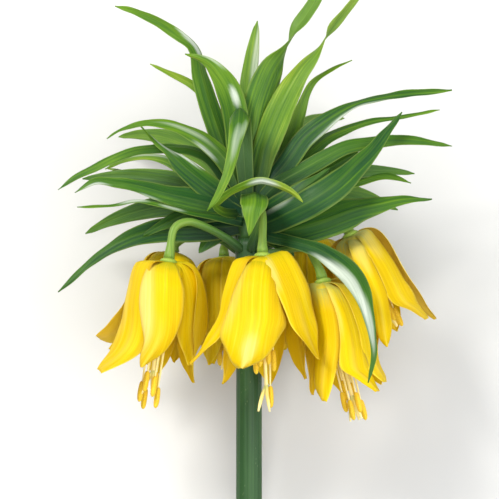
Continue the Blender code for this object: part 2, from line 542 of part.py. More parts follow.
# Tepals that face the viewer, by bell and place in the bell: the angles from the viewer, in degrees
# about the bell, that the tepal's left and right edges stand at, and the pixels of those edges from
# the root to the tip, as (left x, left y, right x, right y)
TRACED = {
    ("bloom1", 0): ((-38, 40), [(166, 262, 171, 262), (151, 264, 176, 265), (144, 274, 180, 275),
        (140, 289, 184, 289), (139, 305, 184, 303), (141, 320, 182, 318), (143, 334, 177, 334),
        (143, 345, 168, 347), (141, 356, 157, 358), (140, 367, 143, 368)]),
    ("bloom1", 5): ((-100, -34), [(163.5, 261.5, 167, 262), (139, 261, 155, 262), (132, 270, 150, 270),
        (128, 286, 147, 288), (124, 304, 146, 306), (121, 320, 147, 324), (116, 334, 146, 340),
        (109, 348, 140, 352), (103, 358, 125, 363), (97, 369, 101, 372)]),
    ("bloom1", 1): ((75, 120), [(170, 262, 173.5, 261.5), (174, 264, 191, 263), (178, 275, 200, 273),
        (180, 288, 205, 286), (180, 303, 208, 301), (179, 318, 209, 316), (177, 332, 208, 330),
        (180, 344, 204, 343), (186, 354, 198, 354), (190, 365, 193, 366)]),
    ("bloom1", 4): ((-165, -105), [(168, 261, 164, 261), (158, 263, 142, 264), (152, 275, 134, 275),
        (150, 291, 130, 290), (148, 306, 124, 303), (142, 322, 118, 313), (132, 334, 110, 321),
        (121, 341, 104, 328), (110, 343, 100, 333), (101, 340, 97, 337)]),
    ("bloom2", 0): ((-42, 40), [(260, 256, 265, 256), (249, 262, 270, 262), (241, 275, 274, 275),
        (234, 290, 278, 290), (229, 305, 282, 305), (224, 320, 286, 319), (220, 334, 286, 327),
        (222, 343, 280, 337), (226, 352, 271, 350), (232, 362, 260, 361), (239, 368, 244, 369)]),
    ("bloom2", 5): ((-75, -46), [(257, 256, 261, 256), (236, 259, 250, 259), (230, 268, 245, 267),
        (226, 281, 240, 281), (222, 297, 235, 297), (219, 314, 232, 312), (213, 328, 228, 325),
        (206, 340, 219, 338), (198, 353, 207, 350), (190, 364, 192, 365)]),
    ("bloom2", 1): ((30, 84), [(264, 256, 268, 255), (265, 260, 285, 250.5), (268, 270, 295, 259),
        (273, 283, 303, 273), (279, 297, 309, 287), (285, 312, 312, 303), (291, 326, 315, 320),
        (300, 340, 316.5, 336), (309, 351, 318, 349), (317, 359, 319, 360)]),
    ("bloom5", 0): ((-10, 42), [(321.5, 282, 325, 282), (326, 287, 341, 289), (331, 299, 348, 301),
        (336, 313, 354, 316), (339, 328, 359, 331), (340, 344, 363, 346), (339, 358, 367, 360),
        (341, 369, 370, 371), (355, 378, 375, 379), (374, 392, 380, 391)]),
    ("bloom5", 1): ((36, 84), [(324, 282.5, 327, 282), (335, 284, 347, 285), (343, 293, 357, 296),
        (351, 308, 365, 310), (356, 322, 372, 325), (360, 336, 377, 340), (362, 349, 380, 354),
        (366, 361, 383, 366), (374, 372, 386, 375), (384, 382, 387, 382)]),
    ("bloom5", 5): ((-80, -8), [(318.5, 282, 322, 282), (309, 285, 328, 286), (310, 300, 333, 300),
        (312, 318, 338, 316), (314, 335, 340, 332), (314, 350, 340, 350), (312, 364, 337, 366),
        (313, 378, 334, 380), (316, 390, 330, 391), (321, 401, 325, 401)]),
    ("bloom6", 0): ((-20, 24), [(348.5, 236, 352, 235), (348, 245, 364, 242), (352, 257, 371, 258),
        (358, 270, 378, 272), (364, 285, 384, 285), (369, 300, 389, 299), (373, 315, 390.5, 313),
        (376, 328, 391.5, 326), (380, 339, 391, 338), (386, 347, 388.5, 347)]),
    ("bloom6", 1): ((20, 76), [(351, 235.5, 354, 233.5), (358, 238, 368, 229), (364, 247, 377, 238),
        (371, 259, 387, 251), (378, 272, 396, 265), (384, 286, 404, 280), (388, 299, 411, 291),
        (396, 307, 416, 300), (410, 311, 421, 308), (425, 320, 427, 319)]),
    ("bloom6", 5): ((-66, -16), [(346.5, 237, 349.5, 236.2), (337, 245, 351, 247),
        (336, 257, 357, 262), (341, 271, 364, 277), (347, 287, 370, 291), (353, 303, 375, 306),
        (358, 319, 378, 321), (362, 332, 380, 334), (368, 343, 379, 345), (375, 352, 378, 353)]),
}
# How far such a tepal stands from the bell's axis, by share of its length
REACH_LINE = [(0.0, 3.0), (0.10, 13.0), (0.24, 16.8), (0.45, 17.8),
              (0.68, 19.6), (0.86, 22.0), (1.0, 24.5)]


def bell_frame(bell):
    top = place(bell["pixel"][0], bell["pixel"][1], bell["depth"])
    down = Vector((bell["lean"][0], bell["lean"][1], -1.0)).normalized()
    front = Vector((0.0, -1.0, 0.0))
    front = (front - down * front.dot(down)).normalized()
    right = Vector((1.0, 0.0, 0.0))
    right = (right - down * right.dot(down)).normalized()
    right = (right - front * right.dot(front)).normalized()
    return top, down, front, right


def between(line, x):
    """Value at x of a line of (place, value) pairs."""
    for (a, p), (b, q) in zip(line, line[1:]):
        if x <= b:
            return p + (q - p) * (x - a) / (b - a)
    return line[-1][1]


def traced_rows(name, bell, index):
    """A tepal whose edges show at known pixels; its depth follows the round of the bell."""
    (left_deg, right_deg), edges = TRACED[(name, index)]
    top, down, front, right = bell_frame(bell)
    lines = [((a + c) / 2, (b + d) / 2, 0.0, a, b, c, d) for a, b, c, d in edges]
    rows = []
    for u, sample in zip(TEPAL_SHARES, spline(lines, TEPAL_SHARES)):
        radius = between(REACH_LINE, u) * bell["size"] * bell["open"][index]
        radius -= (index % 2) * INNER_STEP * min(1.0, radius / 10.0)
        xl, yl, xr, yr = sample[3:]
        axis = place((xl + xr) / 2, (yl + yr) / 2, bell["depth"])
        axis_depth = bell["depth"] + down.y / abs(down.z) * (top.z - axis.z)
        row = []
        for h in TEPAL_HALVES:
            t = (h + 1.0) / 2.0
            angle = math.radians(left_deg + (right_deg - left_deg) * t)
            depth = axis_depth - radius * math.cos(angle)
            row.append(above_surface(place(xl + (xr - xl) * t, yl + (yr - yl) * t, depth)))
        rows.append(row)
    return rows


def tepal_rows(name, bell, index):
    if (name, index) in TRACED:
        return traced_rows(name, bell, index)
    top, down, front, right = bell_frame(bell)
    inner = index % 2
    scale = bell["size"]
    stretch = bell["length"][index]
    opening = bell["open"][index]
    line = spline(TEPAL_LINE, TEPAL_SHARES)
    middle = math.radians(bell["turn"] + 60.0 * index)
    rows = []
    for r, s, width in line:
        part = s / TEPAL_LINE[-1][1]
        flare = 1.0 + (opening - 1.0) * part * part
        radius = (r * flare - inner * INNER_STEP * min(1.0, r / 10.0)) * scale
        drop = s * stretch * scale
        row = []
        for h in TEPAL_HALVES:
            half_angle = h * width * scale / 2 / max(radius, NARROW_R) * TEPAL_WRAP
            angle = middle + half_angle
            reach = radius * (1.0 - TEPAL_EDGE_TUCK * h * h)
            spoke = front * math.cos(angle) + right * math.sin(angle)
            if radius < NARROW_R:
                centre = front * math.cos(middle) + right * math.sin(middle)
                across = right * math.cos(middle) - front * math.sin(middle)
                p = top + down * drop + centre * radius + across * (h * width * scale / 2)
            else:
                p = top + down * drop + spoke * reach
            row.append(above_surface(p))
        rows.append(row)
    return rows


def tepals(name, bell):
    collection = new_collection(name + "_tepal_parts")
    top, down, front, right = bell_frame(bell)
    size = bell["size"]
    tube(name + "_receptacle", [top + down * d * size for d, r in RECEPTACLE_PROFILE],
         [r * size for d, r in RECEPTACLE_PROFILE], 8, collection)
    for index in range(6):
        rows = tepal_rows(name, bell, index)
        blade("%s_tepal%d" % (name, index + 1), rows, TEPAL_THICK, collection)
    return fuse(name + "_tepals", collection, "tepal_yellow")


def stamens(name, bell):
    collection = new_collection(name + "_stamen_parts")
    top, down, front, right = bell_frame(bell)
    size = bell["size"]

    def at(r, angle, drop):
        spoke = front * math.cos(angle) + right * math.sin(angle)
        return top + down * drop * size + spoke * r * size

    tube(name + "_base", [at(0, 0, d) for d in BASE_SPAN], [BASE_R, BASE_R], 8, collection)
    tube(name + "_ovary", [at(0, 0, d) for d, r in OVARY_PROFILE],
         [r for d, r in OVARY_PROFILE], 6, collection)
    reach = bell["style"]
    tube(name + "_style", [at(0, 0, STYLE_START), at(0.6, 0.8, reach - STYLE_SPLIT)],
         STYLE_RADII, 5, collection)
    for k in range(3):
        angle = math.radians(bell["turn"] + STIGMA_TURN + 120 * k)
        line = [at(out, angle, reach + past) for out, past, r in STIGMA_LINE]
        tube(name + "_stigma%d" % k, line, [r for out, past, r in STIGMA_LINE], 4, collection)
    root_out, root_down, root_r = FILAMENT_ROOT
    for k in range(6):
        angle = math.radians(bell["turn"] + 30 + 60 * k)
        reach = bell["reach"][k]
        line = [at(root_out, angle, root_down)]
        line += [at(out, angle, reach + past) for out, past, r in ANTHER_LINE]
        radii = [root_r] + [r for out, past, r in ANTHER_LINE]
        tube(name + "_filament%d" % k, line, radii, 3, collection)
    return fuse(name + "_stamens", collection, "stamen_cream")


def stem():
    collection = new_collection("stem_parts")
    line = [Vector((0.0, 0.0, z)) for z, r in STALK_PROFILE]
    tube("stalk", line, [r for z, r in STALK_PROFILE], 16, collection)
    for name, bell in BELLS.items():
        top, down, front, right = bell_frame(bell)
        route = [STALK_ROOT] + bell["stalk"] + [tuple(top - down * STALK_END)]
        points = [Vector(p) for p in spline(route, even(8))] + [top]
        tube(name + "_stalk", points, STALK_RADII, 6, collection)
    return fuse("stem", collection, "stem_green")


for leftover in list(bpy.data.objects):
    bpy.data.objects.remove(leftover, do_unlink=True)

plant = bpy.data.objects.new("plant", None)
bpy.context.scene.collection.objects.link(plant)
parts = [stem(), crown_leaves()]
for bell_name, bell_numbers in BELLS.items():
    parts.append(tepals(bell_name, bell_numbers))
    parts.append(stamens(bell_name, bell_numbers))

# The origin goes to the middle of the part's footprint, at its lowest point
low = [min(v.co[k] for ob in parts for v in ob.data.vertices) for k in range(3)]
high = [max(v.co[k] for ob in parts for v in ob.data.vertices) for k in range(3)]
centre = Vector(((low[0] + high[0]) / 2, (low[1] + high[1]) / 2, low[2]))
for ob in parts:
    for v in ob.data.vertices:
        v.co -= centre
    ob.parent = plant
print("origin, mm:", [round(c * 1000, 4) for c in centre])
print("size, mm:", [round((top - bottom) * 1000, 1) for bottom, top in zip(low, high)])
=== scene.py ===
from math import cos, exp, hypot, pi, radians, sin, sqrt

import bpy
from mathutils import Matrix, Vector


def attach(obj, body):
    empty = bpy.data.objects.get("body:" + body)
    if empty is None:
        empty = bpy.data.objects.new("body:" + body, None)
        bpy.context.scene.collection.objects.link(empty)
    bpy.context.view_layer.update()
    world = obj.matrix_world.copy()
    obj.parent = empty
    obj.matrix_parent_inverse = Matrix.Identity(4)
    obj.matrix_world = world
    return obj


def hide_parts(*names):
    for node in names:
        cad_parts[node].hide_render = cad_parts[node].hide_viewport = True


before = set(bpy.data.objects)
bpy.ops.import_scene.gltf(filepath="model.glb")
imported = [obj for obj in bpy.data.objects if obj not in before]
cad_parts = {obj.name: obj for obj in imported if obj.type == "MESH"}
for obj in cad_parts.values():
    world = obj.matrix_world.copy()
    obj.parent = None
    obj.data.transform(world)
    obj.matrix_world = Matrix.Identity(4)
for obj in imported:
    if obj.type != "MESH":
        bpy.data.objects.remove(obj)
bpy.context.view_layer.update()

# Crown imperial fritillary: one cut flowering stem, lying on its back leaves and on its cut end.
# Lengths are in millimetres in the plant's own frame, and become metres when the plant is laid down.
# The plant's frame: x to the right, z up along the stem, y away from whoever looks at its front.
RIGHT = Vector((1.0, 0.0, 0.0))
AWAY = Vector((0.0, 1.0, 0.0))
TOWARDS = Vector((0.0, -1.0, 0.0))
UP = Vector((0.0, 0.0, 1.0))
METRES = 0.001  # in a millimetre

# How the plant lies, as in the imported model
LIE_DEG = 14.0
STEM_BELOW = 262.0
STEM_R = 6.8
SIN_LIE = sin(radians(LIE_DEG))
COS_LIE = cos(radians(LIE_DEG))
CROWN_HEIGHT = STEM_BELOW * SIN_LIE + STEM_R * COS_LIE
FLOOR_MARGIN = 0.6
CENTRE = Vector((3.5327, -58.7126, 0.0))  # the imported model's origin, before centring

# The photograph's point of view
FRAME_PIXELS = 499.0
FRAME_MIDDLE = 249.5
PIXEL_MM = 0.52
VIEW_DISTANCE = 1100.0
VIEW_UP_DEG = 8.0
TARGET = Vector((0.26, 0.0, -7.5))
VIEW_DIR = Vector((0.0, cos(radians(VIEW_UP_DEG)), sin(radians(VIEW_UP_DEG))))
VIEW_RISE = Vector((0.0, -VIEW_DIR.z, VIEW_DIR.y))
VIEW_EYE = TARGET - VIEW_DISTANCE * VIEW_DIR
SENSOR_MM = 36.0
CLIP_START = 0.05

# How finely the surfaces are divided
LEAF_ALONG = 52
LEAF_ACROSS = 12
TEPAL_ALONG = 34
TEPAL_ACROSS = 16
SPLINE_STEPS = 12
CUT_FACE = 0.93  # share of a bar's end that is its pale cut face
TINY = 1e-9


def place(px, py, depth):
    """Point of the plant that shows at a pixel, at a depth behind the stem."""
    across = (px - FRAME_MIDDLE) * PIXEL_MM / VIEW_DISTANCE
    rise = (FRAME_MIDDLE - py) * PIXEL_MM / VIEW_DISTANCE
    ray = VIEW_DIR + across * RIGHT + rise * VIEW_RISE
    return VIEW_EYE + ray * ((depth - VIEW_EYE.y) / ray.y)


def surface_depth(z):
    """How far behind the stem's middle the surface under the plant is."""
    return (CROWN_HEIGHT + z * SIN_LIE) / COS_LIE


def above_surface(p):
    return Vector((p.x, min(p.y, surface_depth(p.z) - FLOOR_MARGIN), p.z))


def turned(v):
    """A direction of the plant's frame as the plant lies."""
    return Vector((v.x, v.y * SIN_LIE + v.z * COS_LIE, -v.y * COS_LIE + v.z * SIN_LIE))


def lay(p):
    """From the plant's frame in millimetres to the world in metres."""
    return (turned(p) + CROWN_HEIGHT * UP - CENTRE) * METRES


def square_to(v, d):
    """The direction nearest to v that is square to the direction d."""
    return (v - d * v.dot(d)).normalized()


def spline(values, count, power=1.0):
    """Resamples a list of equal-length tuples by the length of its first three numbers."""
    last = len(values) - 1
    fine = []
    for i in range(last):
        stops = [values[min(max(n, 0), last)] for n in range(i - 1, i + 3)]
        for k in range(SPLINE_STEPS):
            t = k / SPLINE_STEPS
            fine.append(tuple(
                0.5 * (2 * q + (r - p) * t + (2 * p - 5 * q + 4 * r - s) * t * t
                       + (3 * q - p - 3 * r + s) * t * t * t)
                for p, q, r, s in zip(*stops)))
    fine.append(tuple(values[-1]))
    run = [0.0]
    for a, b in zip(fine, fine[1:]):
        run.append(run[-1] + (Vector(b[:3]) - Vector(a[:3])).length)
    out = []
    j = 0
    for i in range(count + 1):
        goal = run[-1] * (1.0 - (1.0 - i / count) ** power)
        while j < len(run) - 2 and run[j + 1] < goal:
            j += 1
        share = (goal - run[j]) / max(run[j + 1] - run[j], TINY)
        share = min(max(share, 0.0), 1.0)
        out.append(tuple(a + (b - a) * share for a, b in zip(fine[j], fine[j + 1])))
    return out


def tangents(points):
    last = len(points) - 1
    return [(points[min(i + 1, last)] - points[max(i - 1, 0)]).normalized() for i in range(last + 1)]


def smooth(low, high, x):
    t = min(max((x - low) / (high - low), 0.0), 1.0)
    return t * t * (3 - 2 * t)


def new_object(name, data):
    ob = bpy.data.objects.new(name, data)
    bpy.context.scene.collection.objects.link(ob)
    return ob


class Build:
    """Collects closed pieces of surface, with numbers for the materials, into one object.

    surface: across -1 to 1, along 0 to 1, tone
    spot: millimetres across, millimetres along, a number of the piece's own
    side: 1 on a blade's lower or inner face and on a bar's cut ends, 0 elsewhere
    shine: over 0 for a painted highlight on a blade (on leaves partly whitish wax), under 0 for painted
    shade
    """

    def __init__(self, name):
        self.name = name
        self.verts = []
        self.faces = []
        self.numbers = {"surface": [], "spot": [], "side": [], "shine": []}

    def add(self, p, surface, spot, side, shine=0.0):
        self.verts.append(lay(p))
        for values, value in zip(self.numbers.values(), (surface, spot, (side,), (shine,))):
            values.extend(value)

    def sheet(self, rows, thick, relief, shine, tone, seed, widths, length):
        """A closed blade. rows are points of its middle. thick, relief and shine are functions of the share
        along it and the place across it, for its thickness, its rise and its painted highlights and painted
        shade."""
        count = len(rows)
        across = len(rows[0])
        start = len(self.verts)
        for face in (0, 1):
            for i in range(count):
                u = i / (count - 1)
                for j in range(across):
                    h = 2.0 * j / (across - 1) - 1.0
                    along = rows[min(i + 1, count - 1)][j] - rows[max(i - 1, 0)][j]
                    over = rows[i][min(j + 1, across - 1)] - rows[i][max(j - 1, 0)]
                    normal = along.cross(over)
                    normal = normal.normalized() if normal.length > TINY else TOWARDS
                    p = rows[i][j] + normal * (thick(u, h) * (0.5 - face) + relief(u, h))
                    spot = (h * widths[i] / 2, u * length, seed)
                    self.add(above_surface(p), (h, u, tone), spot, float(face), shine(u, h))
        size = count * across

        def at(i, j, face):
            return start + face * size + i * across + j

        for i in range(count - 1):
            for j in range(across - 1):
                self.faces.append((at(i, j, 0), at(i + 1, j, 0), at(i + 1, j + 1, 0), at(i, j + 1, 0)))
                self.faces.append((at(i, j, 1), at(i, j + 1, 1), at(i + 1, j + 1, 1), at(i + 1, j, 1)))
        rim = [(0, j) for j in range(across)]
        rim += [(i, across - 1) for i in range(1, count)]
        rim += [(count - 1, j) for j in range(across - 2, -1, -1)]
        rim += [(i, 0) for i in range(count - 2, 0, -1)]
        for a, b in zip(rim, rim[1:] + rim[:1]):
            self.faces.append((at(*a, 0), at(*b, 0), at(*b, 1), at(*a, 1)))

    def tube(self, points, radii, sides, tone=0.0, seed=0.0, ribs=0, rib_depth=0.0):
        """A closed round bar along a line of points, with ribs along it where they are asked for."""
        dirs = tangents(points)
        side = dirs[0].cross(AWAY)
        if side.length < 0.2:
            side = dirs[0].cross(RIGHT)
        side.normalize()
        start = len(self.verts)
        run = 0.0
        rims = []
        last = len(points) - 1
        for i, (p, d, r) in enumerate(zip(points, dirs, radii)):
            side = square_to(side, d)
            other = d.cross(side)
            run += (p - points[max(i - 1, 0)]).length
            rims.append([])
            for k in range(sides):
                turn = 2 * pi * k / sides
                reach = r - rib_depth * (0.5 - 0.5 * cos(ribs * turn))
                v = p + (side * cos(turn) + other * sin(turn)) * reach
                self.add(v, (cos(turn), i / last, tone), (turn * r, run, seed), 0.0)
                rims[i].append(v)
        for i in range(last):
            for k in range(sides):
                a = start + i * sides + k
                b = start + i * sides + (k + 1) % sides
                self.faces.append((a, b, b + sides, a + sides))
        for i, direction in ((0, -1), (last, 1)):
            outer = start + i * sides
            inner = len(self.verts)
            u = i / last
            for v in rims[i]:
                spot = ((v - points[i]).length, run * u, seed)
                self.add(points[i].lerp(v, CUT_FACE), (0.0, u, tone), spot, 1.0)
            middle = len(self.verts)
            self.add(points[i], (0.0, u, tone), (0.0, run * u, seed), 1.0)
            for k in range(sides):
                n = (k + 1) % sides
                for face in ((outer + k, outer + n, inner + n, inner + k), (inner + k, inner + n, middle)):
                    self.faces.append(face[::direction])

    def finish(self, material, node, slot):
        mesh = bpy.data.meshes.new(self.name)
        mesh.from_pydata(self.verts, [], self.faces)
        for name, values in self.numbers.items():
            single = len(values) == len(self.verts)
            layer = mesh.attributes.new(name, "FLOAT" if single else "FLOAT_VECTOR", "POINT")
            layer.data.foreach_set("value" if single else "vector", values)
        mesh.polygons.foreach_set("use_smooth", [True] * len(mesh.polygons))
        mesh.validate()
        mesh.update()
        mesh.materials.append(material)
        ob = new_object(self.name, mesh)
        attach(ob, "root")
        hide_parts(node)


class Look:
    """A material in the making. Its colours read the numbers that Build stores in the mesh."""

    def __init__(self, name):
        self.material = bpy.data.materials.new(name)
        self.material.use_nodes = True
        self.tree = self.material.node_tree
        self.tree.nodes.clear()

    def node(self, kind, inputs, **settings):
        """A new node. An input is another node's output, or a constant."""
        made = self.tree.nodes.new("ShaderNode" + kind)
        for key, value in settings.items():
            setattr(made, key, value)
        for key, value in inputs.items():
            if isinstance(value, bpy.types.NodeSocket):
                self.tree.links.new(value, made.inputs[key])
            else:
                made.inputs[key].default_value = value
        return made

    def stored(self, name, output="Fac"):
        """Numbers of the mesh: "Fac" for one, "Vector" for three."""
        made = self.node("Attribute", {}, attribute_name=name, attribute_type="GEOMETRY")
        return made.outputs[output]

    def surface(self):
        """The place across a piece, the place along it and its tone. Noise goes by its spots."""
        self.spot = self.stored("spot", "Vector")
        return self.node("SeparateXYZ", {0: self.stored("surface", "Vector")}).outputs

    def stretched(self, scale):
        """The spot with a scale for each of its three numbers."""
        return self.node("Mapping", {"Vector": self.spot, "Scale": scale}).outputs[0]

    def noise(self, scale, detail=2.0, roughness=0.5):
        looks = {"Vector": self.stretched(scale), "Scale": 1.0, "Detail": detail, "Roughness": roughness}
        return self.node("TexNoise", looks).outputs[0]

    def maths(self, operation, a, b=0.0, c=0.0, clamp=False):
        made = self.node("Math", {0: a, 1: b, 2: c}, operation=operation, use_clamp=clamp)
        return made.outputs[0]

    def less(self, a, b, clamp=False):
        return self.maths("SUBTRACT", a, b, clamp=clamp)

    def times(self, a, b, clamp=False):
        return self.maths("MULTIPLY", a, b, clamp=clamp)

    def scaled(self, a, b, c, clamp=False):
        """a times b, plus c."""
        return self.maths("MULTIPLY_ADD", a, b, c, clamp)

    def sway(self, level, noise, strength, middle):
        """A level with noise added, less the noise's usual value."""
        return self.scaled(noise, strength, self.less(level, middle))

    def ramp(self, value, stops):
        """A colour for each value. stops are (value, red, green, blue)."""
        made = self.node("ValToRGB", {0: value})
        elements = made.color_ramp.elements
        for i, (position, *colour) in enumerate(stops):
            element = elements[i] if i < 2 else elements.new(position)
            element.position = position
            element.color = (*colour, 1.0)
        return made.outputs[0]

    def mask(self, value, zero, one):
        """A number that is 0 at one value and 1 at the other."""
        return self.ramp(value, sorted([(zero, 0, 0, 0), (one, 1, 1, 1)]))

    def mixed(self, factor, colour, over):
        over = (*over, 1.0) if isinstance(over, tuple) else over
        return self.node("Mix", {0: factor, 6: colour, 7: over}, data_type="RGBA").outputs[2]

    def tint(self, colour, mask, strength, over):
        """Lays a colour over another where the mask is, at a strength."""
        return self.mixed(self.times(mask, strength), colour, over)

    def finish(self, height, bump, shader, glow=None):
        """Ends in a surface. bump is its strength and its depth in metres, and glow is the colour of
        the light that comes through and its share."""
        strength, depth = bump
        normal = self.node("Bump", {"Strength": strength, "Distance": depth, "Height": height})
        normal = normal.outputs[0]
        made = self.node("BsdfPrincipled", {"Normal": normal, **shader})
        if glow:
            colour, share = glow
            through = self.node("BsdfTranslucent", {"Color": colour, "Normal": normal})
            made = self.node("MixShader", {0: share, 1: made.outputs[0], 2: through.outputs[0]})
        self.node("OutputMaterial", {0: made.outputs[0]})
        return self.material


def leaf_material():
    m = Look("leaf")
    across, along, tone = m.surface()
    shine = m.stored("shine")
    off_middle = m.maths("ABSOLUTE", across)
    veins = m.noise((1.3, 0.010, 1.0), 3.0, 0.65)
    fibres = m.noise((0.75, 0.022, 2.3), 2.0, 0.6)
    bands = m.noise((0.38, 0.008, 1.7))
    patches = m.noise((0.08, 0.03, 1.0))
    grain = m.noise((5.0, 0.35, 1.0))
    level = tone
    for noise, strength in ((patches, 0.50), (veins, 0.66), (fibres, 0.56), (bands, 0.20)):
        level = m.sway(level, noise, strength, strength / 2)
    level = m.scaled(m.less(along, 0.42), 0.28, level, clamp=True)
    colour = m.ramp(level, [
        (0.0, 0.005, 0.036, 0.014), (0.25, 0.014, 0.078, 0.014), (0.5, 0.050, 0.150, 0.010),
        (0.75, 0.130, 0.265, 0.012), (1.0, 0.320, 0.430, 0.040)])
    root = m.mask(along, 0.30, 0.05)
    colour = m.tint(colour, root, 0.85, (0.006, 0.040, 0.016))
    # Painted shade: dark green where the stored shine is under zero
    painted_shade = m.times(shine, -1.0, clamp=True)
    colour = m.mixed(painted_shade, colour, (0.008, 0.048, 0.014))
    middle = m.mask(off_middle, 0.10, 0.0)
    colour = m.tint(colour, middle, 0.16, (0.20, 0.32, 0.05))
    edge = m.mask(off_middle, 0.84, 1.0)
    colour = m.tint(colour, edge, 0.45, (0.34, 0.46, 0.08))
    # Whitish wax and painted highlight where the stored shine is over zero, streaked along the veins
    streak = m.scaled(veins, 1.2, -0.10, clamp=True)
    wax_and_highlight = m.scaled(streak, 0.9, 0.45, clamp=True)
    colour = m.mixed(m.times(shine, wax_and_highlight, clamp=True), colour, (0.64, 0.71, 0.61))
    colour = m.tint(colour, m.stored("side"), 0.22, (0.15, 0.27, 0.08))
    height = m.scaled(veins, 0.8, m.times(grain, 0.2))
    return m.finish(height, (0.8, 0.0008), {
        "Base Color": colour, "Roughness": m.scaled(bands, 0.25, 0.34),
        "Specular IOR Level": 0.22, "Coat Weight": 0.04, "Coat Roughness": 0.30,
    }, (m.mixed(0.4, colour, (0.32, 0.50, 0.02)), 0.20))


def tepal_material():
    m = Look("tepal")
    across, along, tone = m.surface()
    light = m.stored("shine")
    off_middle = m.maths("ABSOLUTE", across)
    veins = m.noise((1.1, 0.008, 1.0), 3.0, 0.65)
    bands = m.noise((0.30, 0.012, 1.4))
    patches = m.noise((0.09, 0.05, 1.0))
    grain = m.noise((5.5, 0.25, 1.0))
    colour = m.ramp(bands, [
        (0.30, 0.74, 0.52, 0.0), (0.48, 0.82, 0.60, 0.0),
        (0.62, 0.86, 0.65, 0.0), (0.76, 0.84, 0.68, 0.03)])
    colour = m.tint(colour, m.mask(veins, 0.50, 0.36), 0.30, (0.62, 0.38, 0.0))
    colour = m.tint(colour, m.mask(veins, 0.54, 0.70), 0.35, (0.92, 0.74, 0.06))
    # Painted highlight along the middle ridge, on the lower half of a tepal
    ridge = m.times(m.mask(off_middle, 0.34, 0.0), m.mask(along, 0.45, 0.75))
    colour = m.tint(colour, ridge, 0.35, (0.92, 0.76, 0.12))
    edge = m.mask(off_middle, 0.86, 1.0)
    colour = m.tint(colour, edge, 0.45, (0.94, 0.78, 0.14))
    green = m.ramp(tone, [(0.25, 0.52, 0.50, 0.01), (0.70, 0.46, 0.50, 0.03), (1.0, 0.52, 0.58, 0.18)])
    reach = m.scaled(m.less(veins, 0.5), 0.30, along, clamp=True)
    reach = m.less(reach, m.times(tone, 0.06), clamp=True)
    shoulder = m.ramp(reach, [(0.0, 1, 1, 1), (0.08, 0.4, 0.4, 0.4), (0.18, 0, 0, 0)])
    colour = m.tint(colour, shoulder, 0.85, green)
    # Painted highlight where the stored shine is over zero
    painted_highlight = m.times(light, m.scaled(veins, 1.2, 0.1), clamp=True)
    colour = m.mixed(painted_highlight, colour, (0.88, 0.76, 0.26))
    # Painted shade, dark ochre, where the stored shine is under zero: edges under a neighbour
    painted_shade = m.times(light, -1.0, clamp=True)
    colour = m.mixed(painted_shade, colour, (0.50, 0.28, 0.0))
    # Inner face: its own richer ochre, darkened further as painted shade of the bell's inside
    colour = m.tint(colour, m.stored("side"), 0.40, (0.66, 0.42, 0.0))
    return m.finish(m.scaled(grain, 0.25, veins), (0.6, 0.0005), {
        "Base Color": colour, "Roughness": m.scaled(patches, 0.2, 0.45), "Specular IOR Level": 0.16,
    }, (m.mixed(0.5, colour, (0.95, 0.68, 0.0)), 0.30))


def stalk_material():
    m = Look("stalk")
    _, along, tone = m.surface()
    streaks = m.noise((1.3, 0.015, 1.0), 3.0, 0.6)
    patches = m.noise((0.12, 0.03, 1.0))
    level = m.sway(tone, streaks, 0.45, 0.22)
    level = m.sway(level, patches, 0.35, 0.17)
    # Painted shade: the bells' own stalks are darker towards the main stem
    painted_shade_near_stem = m.mask(along, 0.65, 0.15)
    bell_stalk = m.ramp(tone, [(0.5, 0, 0, 0), (0.7, 1, 1, 1), (0.8, 1, 1, 1), (0.9, 0, 0, 0)])
    level = m.less(level, m.times(m.times(painted_shade_near_stem, bell_stalk), 0.42), clamp=True)
    colour = m.ramp(level, [
        (0.0, 0.008, 0.040, 0.010), (0.3, 0.026, 0.082, 0.020),
        (0.6, 0.085, 0.190, 0.026), (1.0, 0.270, 0.390, 0.050)])
    dots = m.node("TexVoronoi", {"Vector": m.stretched((0.55, 0.22, 1.0)), "Scale": 1.0})
    speck = m.mask(dots.outputs["Distance"], 0.16, 0.05)
    colour = m.tint(colour, speck, 0.28, (0.20, 0.27, 0.12))
    cut_end = m.stored("side")
    colour = m.mixed(cut_end, colour, (0.55, 0.62, 0.34))
    return m.finish(m.scaled(speck, 0.35, streaks), (0.5, 0.0004), {
        "Base Color": colour, "Roughness": m.scaled(patches, 0.22, 0.36),
        "Specular IOR Level": 0.28, "Coat Weight": 0.05, "Coat Roughness": 0.35,
        "Subsurface Weight": 0.06, "Subsurface Radius": (0.004, 0.006, 0.002), "Subsurface Scale": 0.6})


def stamen_material():
    m = Look("stamen")
    _, along, pollen_share = m.surface()
    streaks = m.noise((2.0, 0.08, 1.0))
    grain = m.noise((3.0, 3.0, 1.0), 3.0, 0.7)
    colour = m.ramp(m.sway(along, streaks, 0.3, 0.15), [
        (0.0, 0.62, 0.66, 0.20), (0.35, 0.90, 0.74, 0.20), (1.0, 0.95, 0.80, 0.34)])
    pollen = m.ramp(grain, [(0.30, 0.62, 0.36, 0.0), (0.55, 0.90, 0.60, 0.02), (0.80, 1.0, 0.80, 0.20)])
    colour = m.mixed(pollen_share, colour, pollen)
    height = m.scaled(m.times(grain, pollen_share), 1.0, m.times(streaks, 0.3))
    return m.finish(height, (0.7, 0.0003), {
        "Base Color": colour, "Roughness": m.scaled(pollen_share, 0.35, 0.45),
        "Subsurface Weight": 0.12, "Subsurface Radius": (0.004, 0.003, 0.001), "Subsurface Scale": 0.6})


LEAF = leaf_material()
TEPAL = tepal_material()
STALK = stalk_material()
STAMEN = stamen_material()

